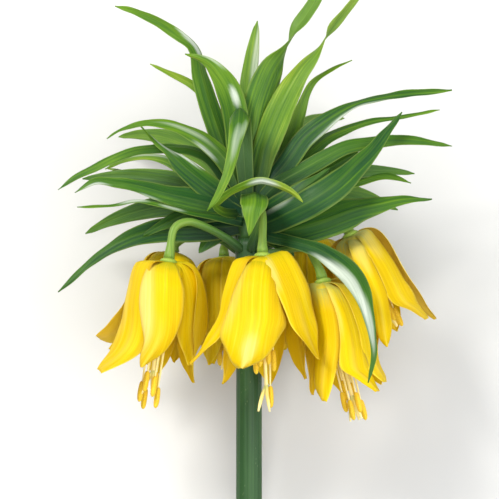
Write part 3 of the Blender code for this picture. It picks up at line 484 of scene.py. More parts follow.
# Leaves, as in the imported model: tone, from 0, dark blue-green, to 1, bright yellow-green, and stations
# from root to tip: pixel x, pixel y, depth, width in pixels, and turn in degrees where it changes
LEAVES = {
    "a": (0.6, """250 205 2 12, 247 150 8 18 -12, 248 100 11 19 -16, 250 70 12 17 -14, 254 42 13 11 -10,
    257.5 21 13 3 -8"""),
    "b": (0.57, """250 205 -1 14, 252 150 -5 24 8, 257 110 -8 32 12, 270 72 -9 28 24, 283 50 -9 17 70,
    297 27 -8 17 140, 314 2 -7 13 165, 332 -35 -5 4 180"""),
    "c": (0.72, """253 208 -3 14, 262 160 -8 24 -10, 268 140 -10 29 -14, 283 104 -12 28 -16,
    300 73 -13 23 -30, 315 55 -13 16 -50, 324 42 -12 10 -82, 333 27 -11 11 -130, 354 1 -9 8 -150,
    372 -20 -8 3 -160"""),
    "d": (0.54, """246 205 -2 12, 239 160 -8 22 -14, 236 120 -12 27 -18, 229 92 -14 26 -14,
    219 74 -14 19 -18, 206 61 -13 10 -22, 185 54 -11 3 -20"""),
    "e": (0.55, """244 203 2 12, 228 160 5 20 14, 217 130 7 22 18, 207 100 8 21 20, 200 75 9 19 30,
    194 50 10 17 46, 180 37 11 14 30, 160 23 12 12 22, 135 12 13 8 20, 115 6 13 3"""),
    "f": (0.72, """242 200 6 12, 222 150 12 14 20, 212 112 15 13 24, 205 97 16 11 20, 195 87 17 10,
    180 78 18 8, 150 64 18 3"""),
    "g": (0.62, """244 200 -5 12, 226 163 -12 20 20, 208 144 -18 21 26, 190 133 -21 18 30, 168 125 -24 13,
    145 123 -26 8, 122 129 -27 5, 107 139 -28 2.5"""),
    "h": (0.38, """242 208 -4 14, 213 190 -10 25 8, 194 176 -12 23 10, 179 163 -14 18 12, 169 153 -16 10 30,
    158 144 -18 7 40, 149 135 -18 5, 138 124 -19 2.5"""),
    "i": (0.45, """243 208 -1 12, 215 165 -6 15 30, 195 152 -9 15 36, 175 149 -11 14 34, 155 149 -13 12 30,
    135 151 -14 11 26, 115 158 -15 11 22, 95 168 -16 9 20, 74 178 -16 6, 58 190 -16 2.5"""),
    "j": (0.55, """242 214 4 12, 210 190 12 14 30, 185 172 17 14, 165 160 20 12, 145 157 22 8, 125 160 23 6,
    105 169 23 3"""),
    "k": (0.6, """242 216 5 12, 205 196 14 14 40, 176 184 20 13 44, 150 178 24 11 42, 125 172 26 7 40,
    108 169 27 3"""),
    "l": (0.4, """243 216 -5 14, 215 206 -10 27 8, 190 200 -13 27 14, 165 194 -16 21 18, 140 187 -18 16 22,
    117 183 -20 11, 95 181 -21 8 20, 75 193 -22 3"""),
    "m": (0.5, """243 222 -7 10, 215 217 -14 12 44, 195 214 -17 12 58, 174 209 -19 12 62, 152 203 -20 11,
    135 201 -21 10 60, 110 206 -22 7 54, 77 207 -23 3 50"""),
    "n": (0.3, """244 226 -3 14, 215 228 -4 26 6, 190 229 -5 28 10, 165 230 -6 27 14, 145 234 -7 24 18,
    125 241 -8 17 20, 108 250 -8 12, 90 263 -8 9, 74 278 -8 6, 58 292 -8 2.5"""),
    "n2": (0.22, """244 214 -1 14, 232 221 -2 24, 219 231 -2 24 6, 208 242 -2 15 8, 199 253 -2 3"""),
    "n3": (0.26, """243 218 -3 14, 228 208 -6 26, 205 210 -8 27 6, 184 216 -9 20 10, 163 225 -9 11 12,
    143 236 -9 3"""),
    "p": (0.55, """247 205 -4 12, 245 172 -12 17, 242 132 -20 20, 240 110 -29 21, 238 127 -37 18,
    235 142 -40 14, 232 157 -41 12, 228 172 -42 10, 222 187 -42 8, 215 200 -41 6, 207 211 -40 2.5"""),
    "q": (0.75, """238 214 -6 10, 224 212 -20 9, 216 205 -29 8 20, 226 195 -34 9 44, 240 187 -37 10 52,
    258 181 -39 10 54, 272 183 -40 10, 285 188 -40 9 50, 295 194 -39 6 40, 303 202 -38 2.5 30"""),
    "r": (0.6, """253 212 -4 12, 254 197 -16 20, 254 196 -32 27, 254 204 -41 28, 252 212 -43 20,
    251 221 -43.5 12, 250 229 -43 6, 249 236 -42 2"""),
    "s": (0.36, """253 200 -3 12, 285 165 -8 21 -12, 303 140 -10 22 -14, 322 124 -12 20 -16,
    342 111 -13 14 -30, 362 102 -13 11 -40, 385 97 -12 9 -36, 405 94 -11 9 -24, 426 92 -10 8 -20,
    452 90 -9 3"""),
    "t": (0.46, """254 205 3 12, 290 172 6 17 -20, 310 152 8 18 -24, 328 138 9 15 -30, 348 129 10 11 -34,
    370 122 10 8 -30, 395 118 10 6, 440 110 10 2.5"""),
    "u": (0.46, """253 210 -3 12, 275 187 -8 18 -14, 300 172 -11 19 -18, 325 158 -13 18, 345 148 -14 16,
    363 144 -14 15 -16, 385 141 -14 13, 405 140 -13 11, 426 142 -13 8, 452 146 -12 2.5"""),
    "u2": (0.34, """254 212 -1 14, 280 196 -5 20 -6, 303 184 -7 19 -8, 325 171 -8 15, 344 160 -8 8,
    359 151 -8 2.5"""),
    "v": (0.27, """252 226 -6 14, 268 223 -14 24, 290 213 -23 29 -8, 315 200 -28 31 -10, 337 185 -29 30 -12,
    355 168 -27 23 -14, 373 150 -24 16 -20, 388 130 -21 10 -22, 402 112 -19 3 -20"""),
    "v2": (0.22, """254 222 -4 16, 268 214 -12 24, 284 204 -17 25 -4, 302 190 -20 18 -6, 318 178 -21 9,
    330 168 -21 2.5"""),
    "w": (0.4, """253 228 -3 14, 268 233 -8 22, 300 229 -15 31 -6, 325 222 -18 35 -8, 346 214 -19 34 -10,
    362 209 -18 25 -12, 381 205 -17 17 -16, 405 200 -16 10 -18, 432 199 -15 2.5"""),
    "w2": (0.2, """254 222 -4 14, 266 231 -7 22, 278 240 -8 19, 288 249 -9 9, 294 256 -9 2.5"""),
    "x": (0.5, """254 216 5 12, 300 198 11 13 -30, 350 184 15 12, 380 176 17 11, 397 178 18 7,
    411 183 18 2.5"""),
    "y": (0.58, """252 200 4 12, 280 165 8 16 -18, 292 138 10 17 -20, 300 112 11 14 -26, 307 92 12 10 -36,
    316 80 12 8 -40, 335 68 12 5 -34, 352 60 12 2.5 -30"""),
    "z": (0.34, """253 231 -5 12, 272 237 -15 13, 292 242 -24 14 -20, 315 249 -33 18 -26,
    337 262 -40 24 -18, 352 276 -45 24 -12, 361 291 -48 20 -14, 367 310 -50 14 -16, 372 333 -51 9,
    374 355 -51 6 -10, 368 383 -50 2.5 0"""),
}
HANGING = ("p", "r")  # leaves that fold over, with their faces across the view
LEAF_GROUPS = {
    "leaves_upper": "a b c d e f y",
    "leaves_left": "g h i j k l m n n2 n3",
    "leaves_right": "s t u u2 v v2 w w2 x z",
    "leaves_front": "p q r",
}

# Whitish wax and painted highlight where the light catches a leaf: where along it, half its length, where
# across it, half its width, how strong; under zero, painted shade for a part in the shade
SHINE = {
    "a": "0.72 0.3 -0.6 0.55 0.65",
    "b": "0.93 0.1 0 0.8 0.25",
    "d": "0.56 0.07 -0.35 0.3 1, 0.8 0.1 -0.8 0.25 0.5",
    "e": "0.6 0.07 -0.45 0.55 1, 0.66 0.05 -0.8 0.35 0.8",
    "g": "0.48 0.2 -0.1 0.4 0.4, 0.34 0.1 0.75 0.25 0.7",
    "h": "0.52 0.16 -0.9 0.16 1, 0.72 0.16 -0.5 0.5 0.6",
    "j": "0.7 0.2 -0.5 0.5 0.5",
    "k": "0.72 0.25 0.2 0.8 0.75",
    "l": "0.84 0.12 0.75 0.3 0.75, 0.5 0.07 0.9 0.2 0.4",
    "m": "0.62 0.1 0 0.9 0.8, 0.4 0.08 0.3 0.6 0.6",
    "p": "0.2 0.34 0 2 -0.75, 0.6 0.12 0.1 0.6 0.4, 0.52 0.08 0.7 0.3 0.35",
    "q": "0.66 0.12 0 1 1",
    "r": "0.5 0.12 0 1.6 -0.5",
    "s": "0.48 0.2 -0.85 0.22 0.8",
    "v": "0.16 0.1 0.85 0.25 0.4",
    "z": "0.54 0.17 -0.5 0.62 0.9, 0.72 0.14 -0.15 0.85 0.7, 0.4 0.1 -0.72 0.35 0.8",
}

# Leaves on the far side: turn about the stem, height of the root, rise, length, width, tone
BACK_LEAVES = """14 16 30 92 10.5 0.35, 38 15 24 104 13 0.45, 58 22 52 118 12 0.6, 80 10 24 88 12.5 0.3,
    98 25 64 124 12 0.55, 116 15 22 92 12 0.4, 134 20 46 116 12.5 0.65, 152 12 16 100 13 0.35,
    170 15 28 90 10.5 0.45"""
BACK_WIDTHS = (0.62, 0.9, 1.0, 0.98, 0.86, 0.66, 0.42, 0.16)
BACK_ROOT_R = 3.0
BACK_DROOP = 0.0075  # how fast a leaf's rise falls, in radians for each millimetre
BACK_LIFT = 0.05  # how much it turns up at each step along the surface
BACK_STEEPEST = radians(60)

# The form of a leaf
LEAF_MIDDLE = 0.66  # thickness along its middle
LEAF_EDGE = 0.16  # and at its edges
LEAF_TAPER = 0.45  # share of it that is gone at the tip
LEAF_KEEL = 0.10
FOLD_DROP = 0.42  # how far the edges hang under the middle where a leaf folds over
FOLD_SPREAD = 0.08
RIB_STEP = 1.5
RIB_RISE = 0.05
LEAF_RIPPLE = 0.030
LEAF_WAVES = ((1.0, 0.16, 5.1, 1.3), (0.6, 0.37, 9.7, 2.1))  # strength, pace, seed, shift of one edge
LEAF_POWER = 1.15  # rows lie closer towards the tip
LEAF_SEED = 0.731
CORE_LINE = [(0, 0, -2.3), (0, 0, 5), (0, -0.5, 20), (0, -0.5, 30)]
CORE_R = 6.0
CORE_SWELL = 1.4
CORE_TAPER = 4.8
CORE_STEPS = 16


def numbers(text):
    """Rows of numbers from a table written as text, with commas between the rows."""
    return [[float(word) for word in row.split()] for row in text.split(",") if row]


def leaf_stations(stations):
    out = []
    turn = 0.0
    for px, py, depth, width, *change in numbers(stations):
        turn = change[0] if change else turn
        scale = PIXEL_MM * (1.0 + depth / VIEW_DISTANCE)
        out.append((*place(px, py, depth), width * scale, turn))
    return out


def back_stations(turn_deg, root_z, rise_deg, length, width):
    """Stations of a far-side leaf, which droops to the surface under the plant and runs along it."""
    turn = radians(turn_deg)
    out_dir = Vector((cos(turn), sin(turn), 0.0))
    p = out_dir * BACK_ROOT_R + UP * root_z
    rise = radians(rise_deg)
    step = length / (len(BACK_WIDTHS) - 1)
    out = []
    for part in BACK_WIDTHS:
        lifted = above_surface(p)
        out.append((*lifted, width * part, 0.0))
        if p.y > surface_depth(p.z) - FLOOR_MARGIN:
            rise = min(rise + BACK_LIFT, BACK_STEEPEST)
            p = lifted
        p = p + (out_dir * cos(rise) + UP * sin(rise)) * step
        rise -= BACK_DROOP * step
    return out


def leaf_thick(u, h):
    """Thickest along the middle, thin at the edges and towards the tip."""
    return (LEAF_EDGE + (LEAF_MIDDLE - LEAF_EDGE) * (1.0 - abs(h)) ** 0.7) * (1.0 - LEAF_TAPER * u)


def spots(text):
    """Painted light on a blade at a place, from its table of patches: over zero a painted highlight (on
    leaves partly whitish wax), under zero painted shade.
    """
    patches = numbers(text)

    def shine(u, h):
        total = 0.0
        for along, half_length, across, half_width, strength in patches:
            far = hypot((u - along) / half_length, (h - across) / half_width)
            total += strength * (1.0 - smooth(0.35, 1.15, far))
        return max(min(total, 1.0), -1.0)
    return shine


def leaf_relief(width, length, seed):
    """Ripples of the edges and fine ribs along the leaf."""
    ribs = max(round(width / RIB_STEP), 3)

    def relief(u, h):
        wave = 0.0
        for strength, pace, seeded, shift in LEAF_WAVES:
            wave += strength * sin(u * length * pace + seed * seeded + (shift if h > 0 else 0.0))
        ripple = LEAF_RIPPLE * width * wave * h * h * smooth(0.1, 0.3, u)
        rib = RIB_RISE * cos(h * ribs * pi) * (1.0 - smooth(0.85, 1.0, u))
        return ripple + rib
    return relief


def leaf_side(kind, d):
    """The direction across a leaf that runs along d, before it is turned."""
    if kind == "hang":
        return square_to(RIGHT, d)
    if kind == "back":
        side = d.cross(TOWARDS)
        return side.normalized() if side.length > 0.25 else RIGHT
    return d.cross(AWAY).normalized()


def add_leaf(build, kind, stations, tone, seed, patches=""):
    samples = spline(stations, LEAF_ALONG, LEAF_POWER)
    points = [Vector(s[:3]) for s in samples]
    length = sum((b - a).length for a, b in zip(points, points[1:]))
    highest = max(range(len(points)), key=lambda n: points[n].z)
    rows = []
    widths = []
    for i, (p, d, s) in enumerate(zip(points, tangents(points), samples)):
        width = max(s[3], 0.5) * (1.0 - smooth(0.93, 1.0, i / LEAF_ALONG) * 0.6)
        fold = 0.0
        if kind == "hang":
            fold = FOLD_DROP * exp(-((i - highest) / (FOLD_SPREAD * LEAF_ALONG)) ** 2)
        flat = leaf_side(kind, d)
        out = d.cross(flat)
        turn = radians(s[4])
        side = flat * cos(turn) + out * sin(turn)
        normal = out * cos(turn) - flat * sin(turn)
        row = []
        for j in range(LEAF_ACROSS + 1):
            h = 2.0 * j / LEAF_ACROSS - 1.0
            sink = LEAF_KEEL * width * (sqrt(1.0 + 8.0 * (1.0 - abs(h)) ** 2) - 1.0) / 2.0
            v = p + side * (h * width / 2) + normal * sink
            v.z -= fold * width * h * h
            row.append(above_surface(v))
        rows.append(row)
        widths.append(width)
    relief = leaf_relief(max(widths), length, seed)
    build.sheet(rows, leaf_thick, relief, spots(patches), tone, seed * 17.0, widths, length)


leaf_number = 0
for group, members in LEAF_GROUPS.items():
    build = Build(group)
    for key in members.split():
        tone, stations = LEAVES[key]
        kind = "hang" if key in HANGING else "face"
        leaf_number += 1
        seed = leaf_number * LEAF_SEED
        add_leaf(build, kind, leaf_stations(stations), tone, seed, SHINE.get(key, ""))
    build.finish(LEAF, "crown_leaves", "leaf")
build = Build("leaves_back")
for *shape, tone in numbers(BACK_LEAVES):
    leaf_number += 1
    add_leaf(build, "back", back_stations(*shape), tone, leaf_number * LEAF_SEED)
build.finish(LEAF, "crown_leaves", "leaf")
build = Build("crown_core")
core = spline(CORE_LINE, CORE_STEPS)
core_radii = []
for i in range(CORE_STEPS + 1):
    u = i / CORE_STEPS
    core_radii.append(CORE_R + CORE_SWELL * smooth(0.0, 0.2, u) - CORE_TAPER * smooth(0.35, 1.0, u))
build.tube([Vector(c) for c in core], core_radii, sides=28, tone=0.35, seed=3.0, ribs=7, rib_depth=0.7)
build.finish(STALK, "crown_leaves", "leaf")

# Bells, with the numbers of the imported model: the pixel and depth of the top, how the bell leans and
# turns, its size, the way of its stalk, how far each tepal opens and how long it is, how far down each
# stamen and the style reach, and how green its shoulders are, from 0 to 1; over 0.8 they turn pale
EVEN = (1, 1, 1, 1, 1, 1)
FAR_REACH = (50, 54, 52, 48, 55, 51)
BELLS = {
    "bloom1": dict(top=(169, 258.5, -27), lean=(-0.14, -0.03), turn=0, size=1, green=0.3, style=66,
        reach=(66, 71, 63, 72, 69, 64), open=(1, 1, 0.95, 1, 1, 1), length=(1, 1, 1.02, 0.98, 1, 1),
        stalk=[(-4, -4, -8), (-12, -11, -3), (-22, -18, 1.5), (-31, -23, 3.5), (-38, -26, -0.5)]),
    "bloom2": dict(top=(262.5, 252.5, -34), lean=(0.02, -0.03), turn=-6, size=1.04, green=0.22, style=73,
        reach=(50, 53, 70, 49, 54, 51), open=(1.15, 1.15, 0.85, 0.95, 1, 1.1),
        length=(1, 0.98, 1.04, 1.06, 1.06, 1),
        stalk=[(1, -6, -8), (3, -14, -1.5), (5, -22, 6.5), (6.5, -29, 7.5), (7, -33, 2)]),
    "bloom3": dict(top=(224, 256, 33), lean=(0.03, 0.02), turn=24, size=0.98, green=0.55, style=58,
        reach=FAR_REACH, open=(1, 0.95, 0.95, 0.9, 0.75, 0.72), length=(1, 1.03, 1, 0.98, 1, 1.03),
        stalk=[(-3, 4, -8), (-6, 12, 0), (-9, 20, 6), (-11.5, 27, 5), (-13, 31, -1)]),
    "bloom4": dict(top=(174, 252, 13), lean=(-0.18, -0.02), turn=20, size=0.96, green=0.65, style=58,
        reach=FAR_REACH, open=(0.8, 0.7, 0.65, 0.95, 1, 0.9), length=EVEN,
        stalk=[(-5, 1, -8), (-14, 5, -2), (-24, 9, 2), (-32, 13, 1)]),
    "bloom5": dict(top=(322, 278.5, -22), lean=(0.24, -0.03), turn=5, size=1, green=0.9, style=70,
        reach=(66, 70, 60, 58, 64, 69), open=(1, 1, 0.82, 0.8, 0.8, 1), length=(1, 1, 1, 1, 0.95, 1),
        stalk=[(4, -4, -10), (12, -9, -10.5), (22, -15, -9), (30, -19, -10), (33.5, -21, -16)]),
    "bloom6": dict(top=(349, 232, 2), lean=(0.46, 0.02), turn=-8, size=1.02, green=1, style=50,
        reach=(46, 50, 48, 45, 51, 47), open=(1, 1, 0.95, 0.9, 0.9, 0.95), length=(1, 1, 1, 0.95, 0.95, 1),
        stalk=[(5, 0, -7), (16, 0, -3), (29, 1, 1), (41, 2, 4), (49, 2, 4)]),
    "bloom7": dict(top=(315, 238, 29), lean=(0.1, 0.02), turn=8, size=0.98, green=0.5, style=58,
        reach=FAR_REACH, open=(0.9, 0.85, 0.9, 0.9, 0.95, 0.9), length=EVEN,
        stalk=[(4, 4, -8), (12, 11, -1), (21, 19, 6), (29, 25, 9.5), (33.5, 28, 9)]),
}
TEPAL_LINE = [(3, 1.6, 3), (8.5, 1.5, 9), (14, 4.8, 15.5), (16.8, 13, 20), (17.8, 27, 22.5),
              (19.3, 39, 21.5), (21.8, 49, 15), (24.2, 55.5, 6.5), (25.6, 58.5, 1.6)]
# Tepals that the photograph shows: the angles of the left and right edges about the bell, how much painted
# shade each edge gets where it slips under a neighbour, and pixels of both edges from root to tip, x and y
# of the left edge, x and y of the right one
TRACED = {
    ("bloom1", 0): (-38, 40, 0, 0, """166 262 171 262, 151 264 176 265, 144 274 180 275, 140 289 184 289,
    139 305 184 303, 141 320 182 318, 143 334 177 334, 143 345 168 347, 141 356 157 358,
    140 367 143 368"""),
    ("bloom1", 5): (-100, -34, 0, 0.75, """163.5 261.5 167 262, 139 261 155 262, 132 270 150 270,
    128 286 147 288, 124 304 146 306, 121 320 147 324, 116 334 146 340, 109 348 140 352, 103 358 125 363,
    97 369 101 372"""),
    ("bloom1", 1): (75, 120, 0.75, 0.3, """170 262 173.5 261.5, 174 264 191 263, 178 275 200 273,
    180 288 205 286, 180 303 208 301, 179 318 209 316, 177 332 208 330, 180 344 204 343, 186 354 198 354,
    190 365 193 366"""),
    ("bloom1", 4): (-165, -105, 0.1, 0.1, """168 261 164 261, 158 263 142 264, 152 275 134 275,
    150 291 130 290, 148 306 124 303, 142 322 118 313, 132 334 110 321, 121 341 104 328, 110 343 100 333,
    101 340 97 337"""),
    ("bloom2", 0): (-42, 40, 0, 0.55, """260 256 265 256, 249 262 270 262, 241 275 274 275, 234 290 278 290,
    229 305 282 305, 224 320 286 319, 220 334 286 327, 222 343 280 337, 226 352 271 350, 232 362 260 361,
    239 368 244 369"""),
    ("bloom2", 5): (-75, -46, 0, 0.7, """257 256 261 256, 236 259 250 259, 230 268 245 267, 226 281 240 281,
    222 297 235 297, 219 314 232 312, 213 328 228 325, 206 340 219 338, 198 353 207 350,
    190 364 192 365"""),
    ("bloom2", 1): (30, 84, 0, 0.25, """264 256 268 255, 265 260 285 250.5, 268 270 295 259,
    273 283 303 273, 279 297 309 287, 285 312 312 303, 291 326 315 320, 300 340 316.5 336, 309 351 318 349,
    317 359 319 360"""),
    ("bloom5", 0): (-10, 42, 0, 0.5, """321.5 282 325 282, 326 287 341 289, 331 299 348 301,
    336 313 354 316, 339 328 359 331, 340 344 363 346, 339 358 367 360, 341 369 370 371, 355 378 375 379,
    374 392 380 391"""),
    ("bloom5", 1): (36, 84, 0.3, 0.1, """324 282.5 327 282, 335 284 347 285, 343 293 357 296,
    351 308 365 310, 356 322 372 325, 360 336 377 340, 362 349 380 354, 366 361 383 366, 374 372 386 375,
    384 382 387 382"""),
    ("bloom5", 5): (-80, -8, 0.2, 0.7, """318.5 282 322 282, 309 285 328 286, 310 300 333 300,
    312 318 338 316, 314 335 340 332, 314 350 340 350, 312 364 337 366, 313 378 334 380, 316 390 330 391,
    321 401 325 401"""),
    ("bloom6", 0): (-20, 24, 0, 0.5, """348.5 236 352 235, 348 245 364 242, 352 257 371 258,
    358 270 378 272, 364 285 384 285, 369 300 389 299, 373 315 390.5 313, 376 328 391.5 326,
    380 339 391 338, 386 347 388.5 347"""),
    ("bloom6", 1): (20, 76, 0.3, 0, """351 235.5 354 233.5, 358 238 368 229, 364 247 377 238,
    371 259 387 251, 378 272 396 265, 384 286 404 280, 388 299 411 291, 396 307 416 300, 410 311 421 308,
    425 320 427 319"""),
    ("bloom6", 5): (-66, -16, 0.1, 0.7, """346.5 237 349.5 236.2, 337 245 351 247, 336 257 357 262,
    341 271 364 277, 347 287 370 291, 353 303 375 306, 358 319 378 321, 362 332 380 334, 368 343 379 345,
    375 352 378 353"""),
}
REACH_LINE = [(0, 3), (0.10, 13), (0.24, 16.8), (0.45, 17.8), (0.68, 19.6), (0.86, 22), (1, 24.5)]
# Painted highlights of the tepals, listed as the leaves' patches are
TEPAL_HIGHLIGHTS = {
    ("bloom1", 0): "0.45 0.5 -0.8 0.55 0.85",
    ("bloom1", 5): "0.45 0.4 -0.85 0.35 0.3",
    ("bloom2", 0): "0.86 0.2 0 0.4 0.8, 0.35 0.35 -0.85 0.25 0.3",
    ("bloom2", 5): "0.5 0.4 0.95 0.3 0.5",
    ("bloom2", 1): "0.18 0.22 -0.85 0.45 0.65",
    ("bloom5", 0): "0.3 0.25 -0.8 0.4 0.4",
    ("bloom6", 0): "0.2 0.2 0 0.8 0.45",
    ("bloom6", 1): "0.18 0.2 0 0.8 0.45",
    ("bloom1", 4): "0.5 0.8 0 2 0.25",
    ("bloom6", 2): "0.45 0.8 0 2 0.55",
}

# The form of a tepal
TEPALS = 6
INNER_STEP = 1.6  # how much nearer to the axis the inner tepals are
INNER_DARK = 0.55  # how much painted shade their edges get under the outer ones
NARROW_R = 6.0  # nearer to the axis than this, a tepal is flat
TEPAL_WRAP = 0.92
TEPAL_EDGE_TUCK = 0.03
TEPAL_MIDDLE = 0.56
TEPAL_EDGE = 0.14
TEPAL_TAPER = 0.35
TEPAL_RIBS = 9
TEPAL_RIB_RISE = 0.06
RIDGE_RISE = 0.45
RIDGE_WIDTH = 0.20
WAVE_RISE = 0.55
CURL = 0.7
TEPAL_LENGTH = 66.0  # for the veins

# Outline of the cup, (distance from the axis, drop), out along its outside and back along its inside
CUP_LINE = [(3.6, 2.8), (7.5, 3.5), (10.5, 5.2), (12.4, 8.5), (13, 13),
            (12.6, 13), (11.8, 8.9), (9.9, 6), (7.2, 4.3), (3.4, 3.6)]
CUP_SIDES = 40
CUP_TOP = 2.0
CUP_SIZE = {"bloom1": 0.68, "bloom5": 0.55, "bloom6": 0.70}
USUAL_CUP = 0.9

# Round parts of a bell: (distance from the axis, angle, drop, radius). In a line the drop counts from
# the end of the style or of the stamen, and an angle of None is the part's own.
RECEPTACLE = [(0, 0, 0.15, 2.9), (0, 0, 0.8, 4), (0, 0, 1.8, 4.4), (0, 0, 3.4, 3.4)]
OVARY = [(0, 0, 3.6, 3.4), (0, 0, 5, 1.9), (0, 0, 14, 1.9), (0, 0, 18, 1)]
STYLE_START = (0, 0, 16, 0.9)
STYLE_LINE = [(0.3, 0.4, -25, 0.8), (0.6, 0.8, -7, 1)]
STIGMA_LINE = [(0.6, 0.8, -8.5, 0.95), (1.4, None, -4, 0.9), (2.6, None, 0, 0.85), (3.6, None, 4, 0.45)]
STIGMA_TURN = 35.0
FILAMENT_LINE = [(4.2, None, -25, 0.62), (4.1, None, -4.5, 0.4)]
FILAMENT_BOW = 0.5
ANTHER_LINE = [(4.1, None, -5.6, 0.35), (4.2, None, -4.6, 1.15), (4.3, None, -1, 1.42),
               (4.3, None, 2.6, 1.35), (4.2, None, 4.5, 0.9), (4.2, None, 5.1, 0.25)]
LEAST_R = 0.1


def bell_frame(bell):
    top = place(*bell["top"])
    down = Vector((*bell["lean"], -1.0)).normalized()
    front = square_to(TOWARDS, down)
    right = square_to(square_to(RIGHT, down), front)
    return top, down, front, right


def bell_point(bell, r, angle, drop):
    top, down, front, right = bell_frame(bell)
    spoke = front * cos(angle) + right * sin(angle)
    return top + down * (drop * bell["size"]) + spoke * (r * bell["size"])


def tepal_thick(u, h):
    return (TEPAL_EDGE + (TEPAL_MIDDLE - TEPAL_EDGE) * (1.0 - h * h)) * (1.0 - TEPAL_TAPER * u)


def tepal_relief(seed, curl):
    """Ribs, the middle ridge, the curl of the edges and their waves."""
    def relief(u, h):
        body = smooth(0.05, 0.3, u)
        ribs = TEPAL_RIB_RISE * cos(h * TEPAL_RIBS * pi) * body * (1.0 - smooth(0.8, 1.0, u))
        ridge = RIDGE_RISE * exp(-(h / RIDGE_WIDTH) ** 2) * smooth(0.2, 0.6, u)
        edge = curl * abs(h) ** 4 * smooth(0.3, 0.8, u)
        turn = u * 17.0 + seed * 3.7 + (1.7 if h > 0 else 0.0)
        wave = WAVE_RISE * sin(turn) * h * h * smooth(0.4, 0.8, u)
        return ribs + ridge + edge + wave
    return relief


def tepal_shine(key):
    """Over zero for a painted highlight, under zero for painted shade where the tepal slips under its
    neighbour.
    """
    left = right = INNER_DARK if key[1] % 2 else 0.0
    if key in TRACED:
        left, right = TRACED[key][2:4]
    pale = spots(TEPAL_HIGHLIGHTS.get(key, ""))

    def shine(u, h):
        strength = right if h > 0 else left
        under = strength * smooth(0.45, 1.0, abs(h)) * (1.0 - smooth(0.60, 0.85, u))
        return pale(u, h) - under
    return shine


def between(line, x):
    """Value at x of a line of (place, value) pairs."""
    for (a, p), (b, q) in zip(line, line[1:]):
        if x <= b:
            return p + (q - p) * (x - a) / (b - a)
    return line[-1][1]


def traced_rows(name, bell, index):
    """A tepal whose edges show at known pixels; its depth follows the round of the bell."""
    left_deg, right_deg, _, _, edges = TRACED[(name, index)]
    top, down, _, _ = bell_frame(bell)
    top_depth = bell["top"][2]
    stops = [((a + c) / 2, (b + d) / 2, 0.0, a, b, c, d) for a, b, c, d in numbers(edges)]
    rows = []
    widths = []
    for i, sample in enumerate(spline(stops, TEPAL_ALONG)):
        radius = between(REACH_LINE, i / TEPAL_ALONG) * bell["size"] * bell["open"][index]
        radius -= (index % 2) * INNER_STEP * min(1.0, radius / 10.0)
        xl, yl, xr, yr = sample[3:]
        axis = place((xl + xr) / 2, (yl + yr) / 2, top_depth)
        axis_depth = top_depth + down.y / abs(down.z) * (top.z - axis.z)
        row = []
        for j in range(TEPAL_ACROSS + 1):
            t = j / TEPAL_ACROSS
            angle = radians(left_deg + (right_deg - left_deg) * t)
            depth = axis_depth - radius * cos(angle)
            row.append(above_surface(place(xl + (xr - xl) * t, yl + (yr - yl) * t, depth)))
        rows.append(row)
        widths.append(hypot(xr - xl, yr - yl) * PIXEL_MM * 1.1)
    return rows, widths


def round_rows(bell, index):
    """A tepal of the usual form, which is TEPAL_LINE as (distance from the axis, drop, width)."""
    top, down, front, right = bell_frame(bell)
    scale = bell["size"]
    middle = radians(bell["turn"] + 60.0 * index)
    rows = []
    widths = []
    for r, s, width in spline(TEPAL_LINE, TEPAL_ALONG, 1.1):
        part = s / TEPAL_LINE[-1][1]
        flare = 1.0 + (bell["open"][index] - 1.0) * part * part
        radius = (r * flare - (index % 2) * INNER_STEP * min(1.0, r / 10.0)) * scale
        level = top + down * (s * bell["length"][index] * scale)
        width *= scale
        row = []
        for j in range(TEPAL_ACROSS + 1):
            h = 2.0 * j / TEPAL_ACROSS - 1.0
            if radius < NARROW_R:
                centre = front * cos(middle) + right * sin(middle)
                across = right * cos(middle) - front * sin(middle)
                p = level + centre * radius + across * (h * width / 2)
            else:
                angle = middle + h * width / 2 / radius * TEPAL_WRAP
                spoke = front * cos(angle) + right * sin(angle)
                p = level + spoke * (radius * (1.0 - TEPAL_EDGE_TUCK * h * h))
            row.append(above_surface(p))
        rows.append(row)
        widths.append(width)
    return rows, widths


def add_tepal(build, name, bell, index, seed):
    key = (name, index)
    rows, widths = traced_rows(name, bell, index) if key in TRACED else round_rows(bell, index)
    relief = tepal_relief(seed, CURL * sin(seed * 2.3))
    green = bell["green"]
    build.sheet(rows, tepal_thick, relief, tepal_shine(key), green, seed * 13.0, widths, TEPAL_LENGTH)


def add_cup(build, name, bell, seed):
    """The closed cup under the roots of the tepals."""
    size = CUP_SIZE.get(name, USUAL_CUP)
    start = len(build.verts)
    for r, drop in CUP_LINE:
        for k in range(CUP_SIDES):
            angle = 2 * pi * k / CUP_SIDES
            p = bell_point(bell, r * size, angle, CUP_TOP + (drop - CUP_TOP) * size)
            build.add(above_surface(p), (0.0, 0.02 * drop, bell["green"]), (angle * r, drop, seed), 0.0)
    for i in range(len(CUP_LINE)):
        ring = start + i * CUP_SIDES
        after = start + (i + 1) % len(CUP_LINE) * CUP_SIDES
        for k in range(CUP_SIDES):
            n = (k + 1) % CUP_SIDES
            build.faces.append((ring + k, after + k, after + n, ring + n))


def curve(build, bell, stops, steps, sides, **extra):
    """A round bar through stops of (distance from the axis, angle, drop, radius) in a bell."""
    line = spline([(*bell_point(bell, *stop), radius) for *stop, radius in stops], steps)
    build.tube([Vector(s[:3]) for s in line], [max(s[3], LEAST_R) for s in line], sides, **extra)


def placed(line, end, angle=0.0):
    """The stops of a line, for a part's end and angle."""
    return [(r, angle if own is None else own, end + drop, radius) for r, own, drop, radius in line]


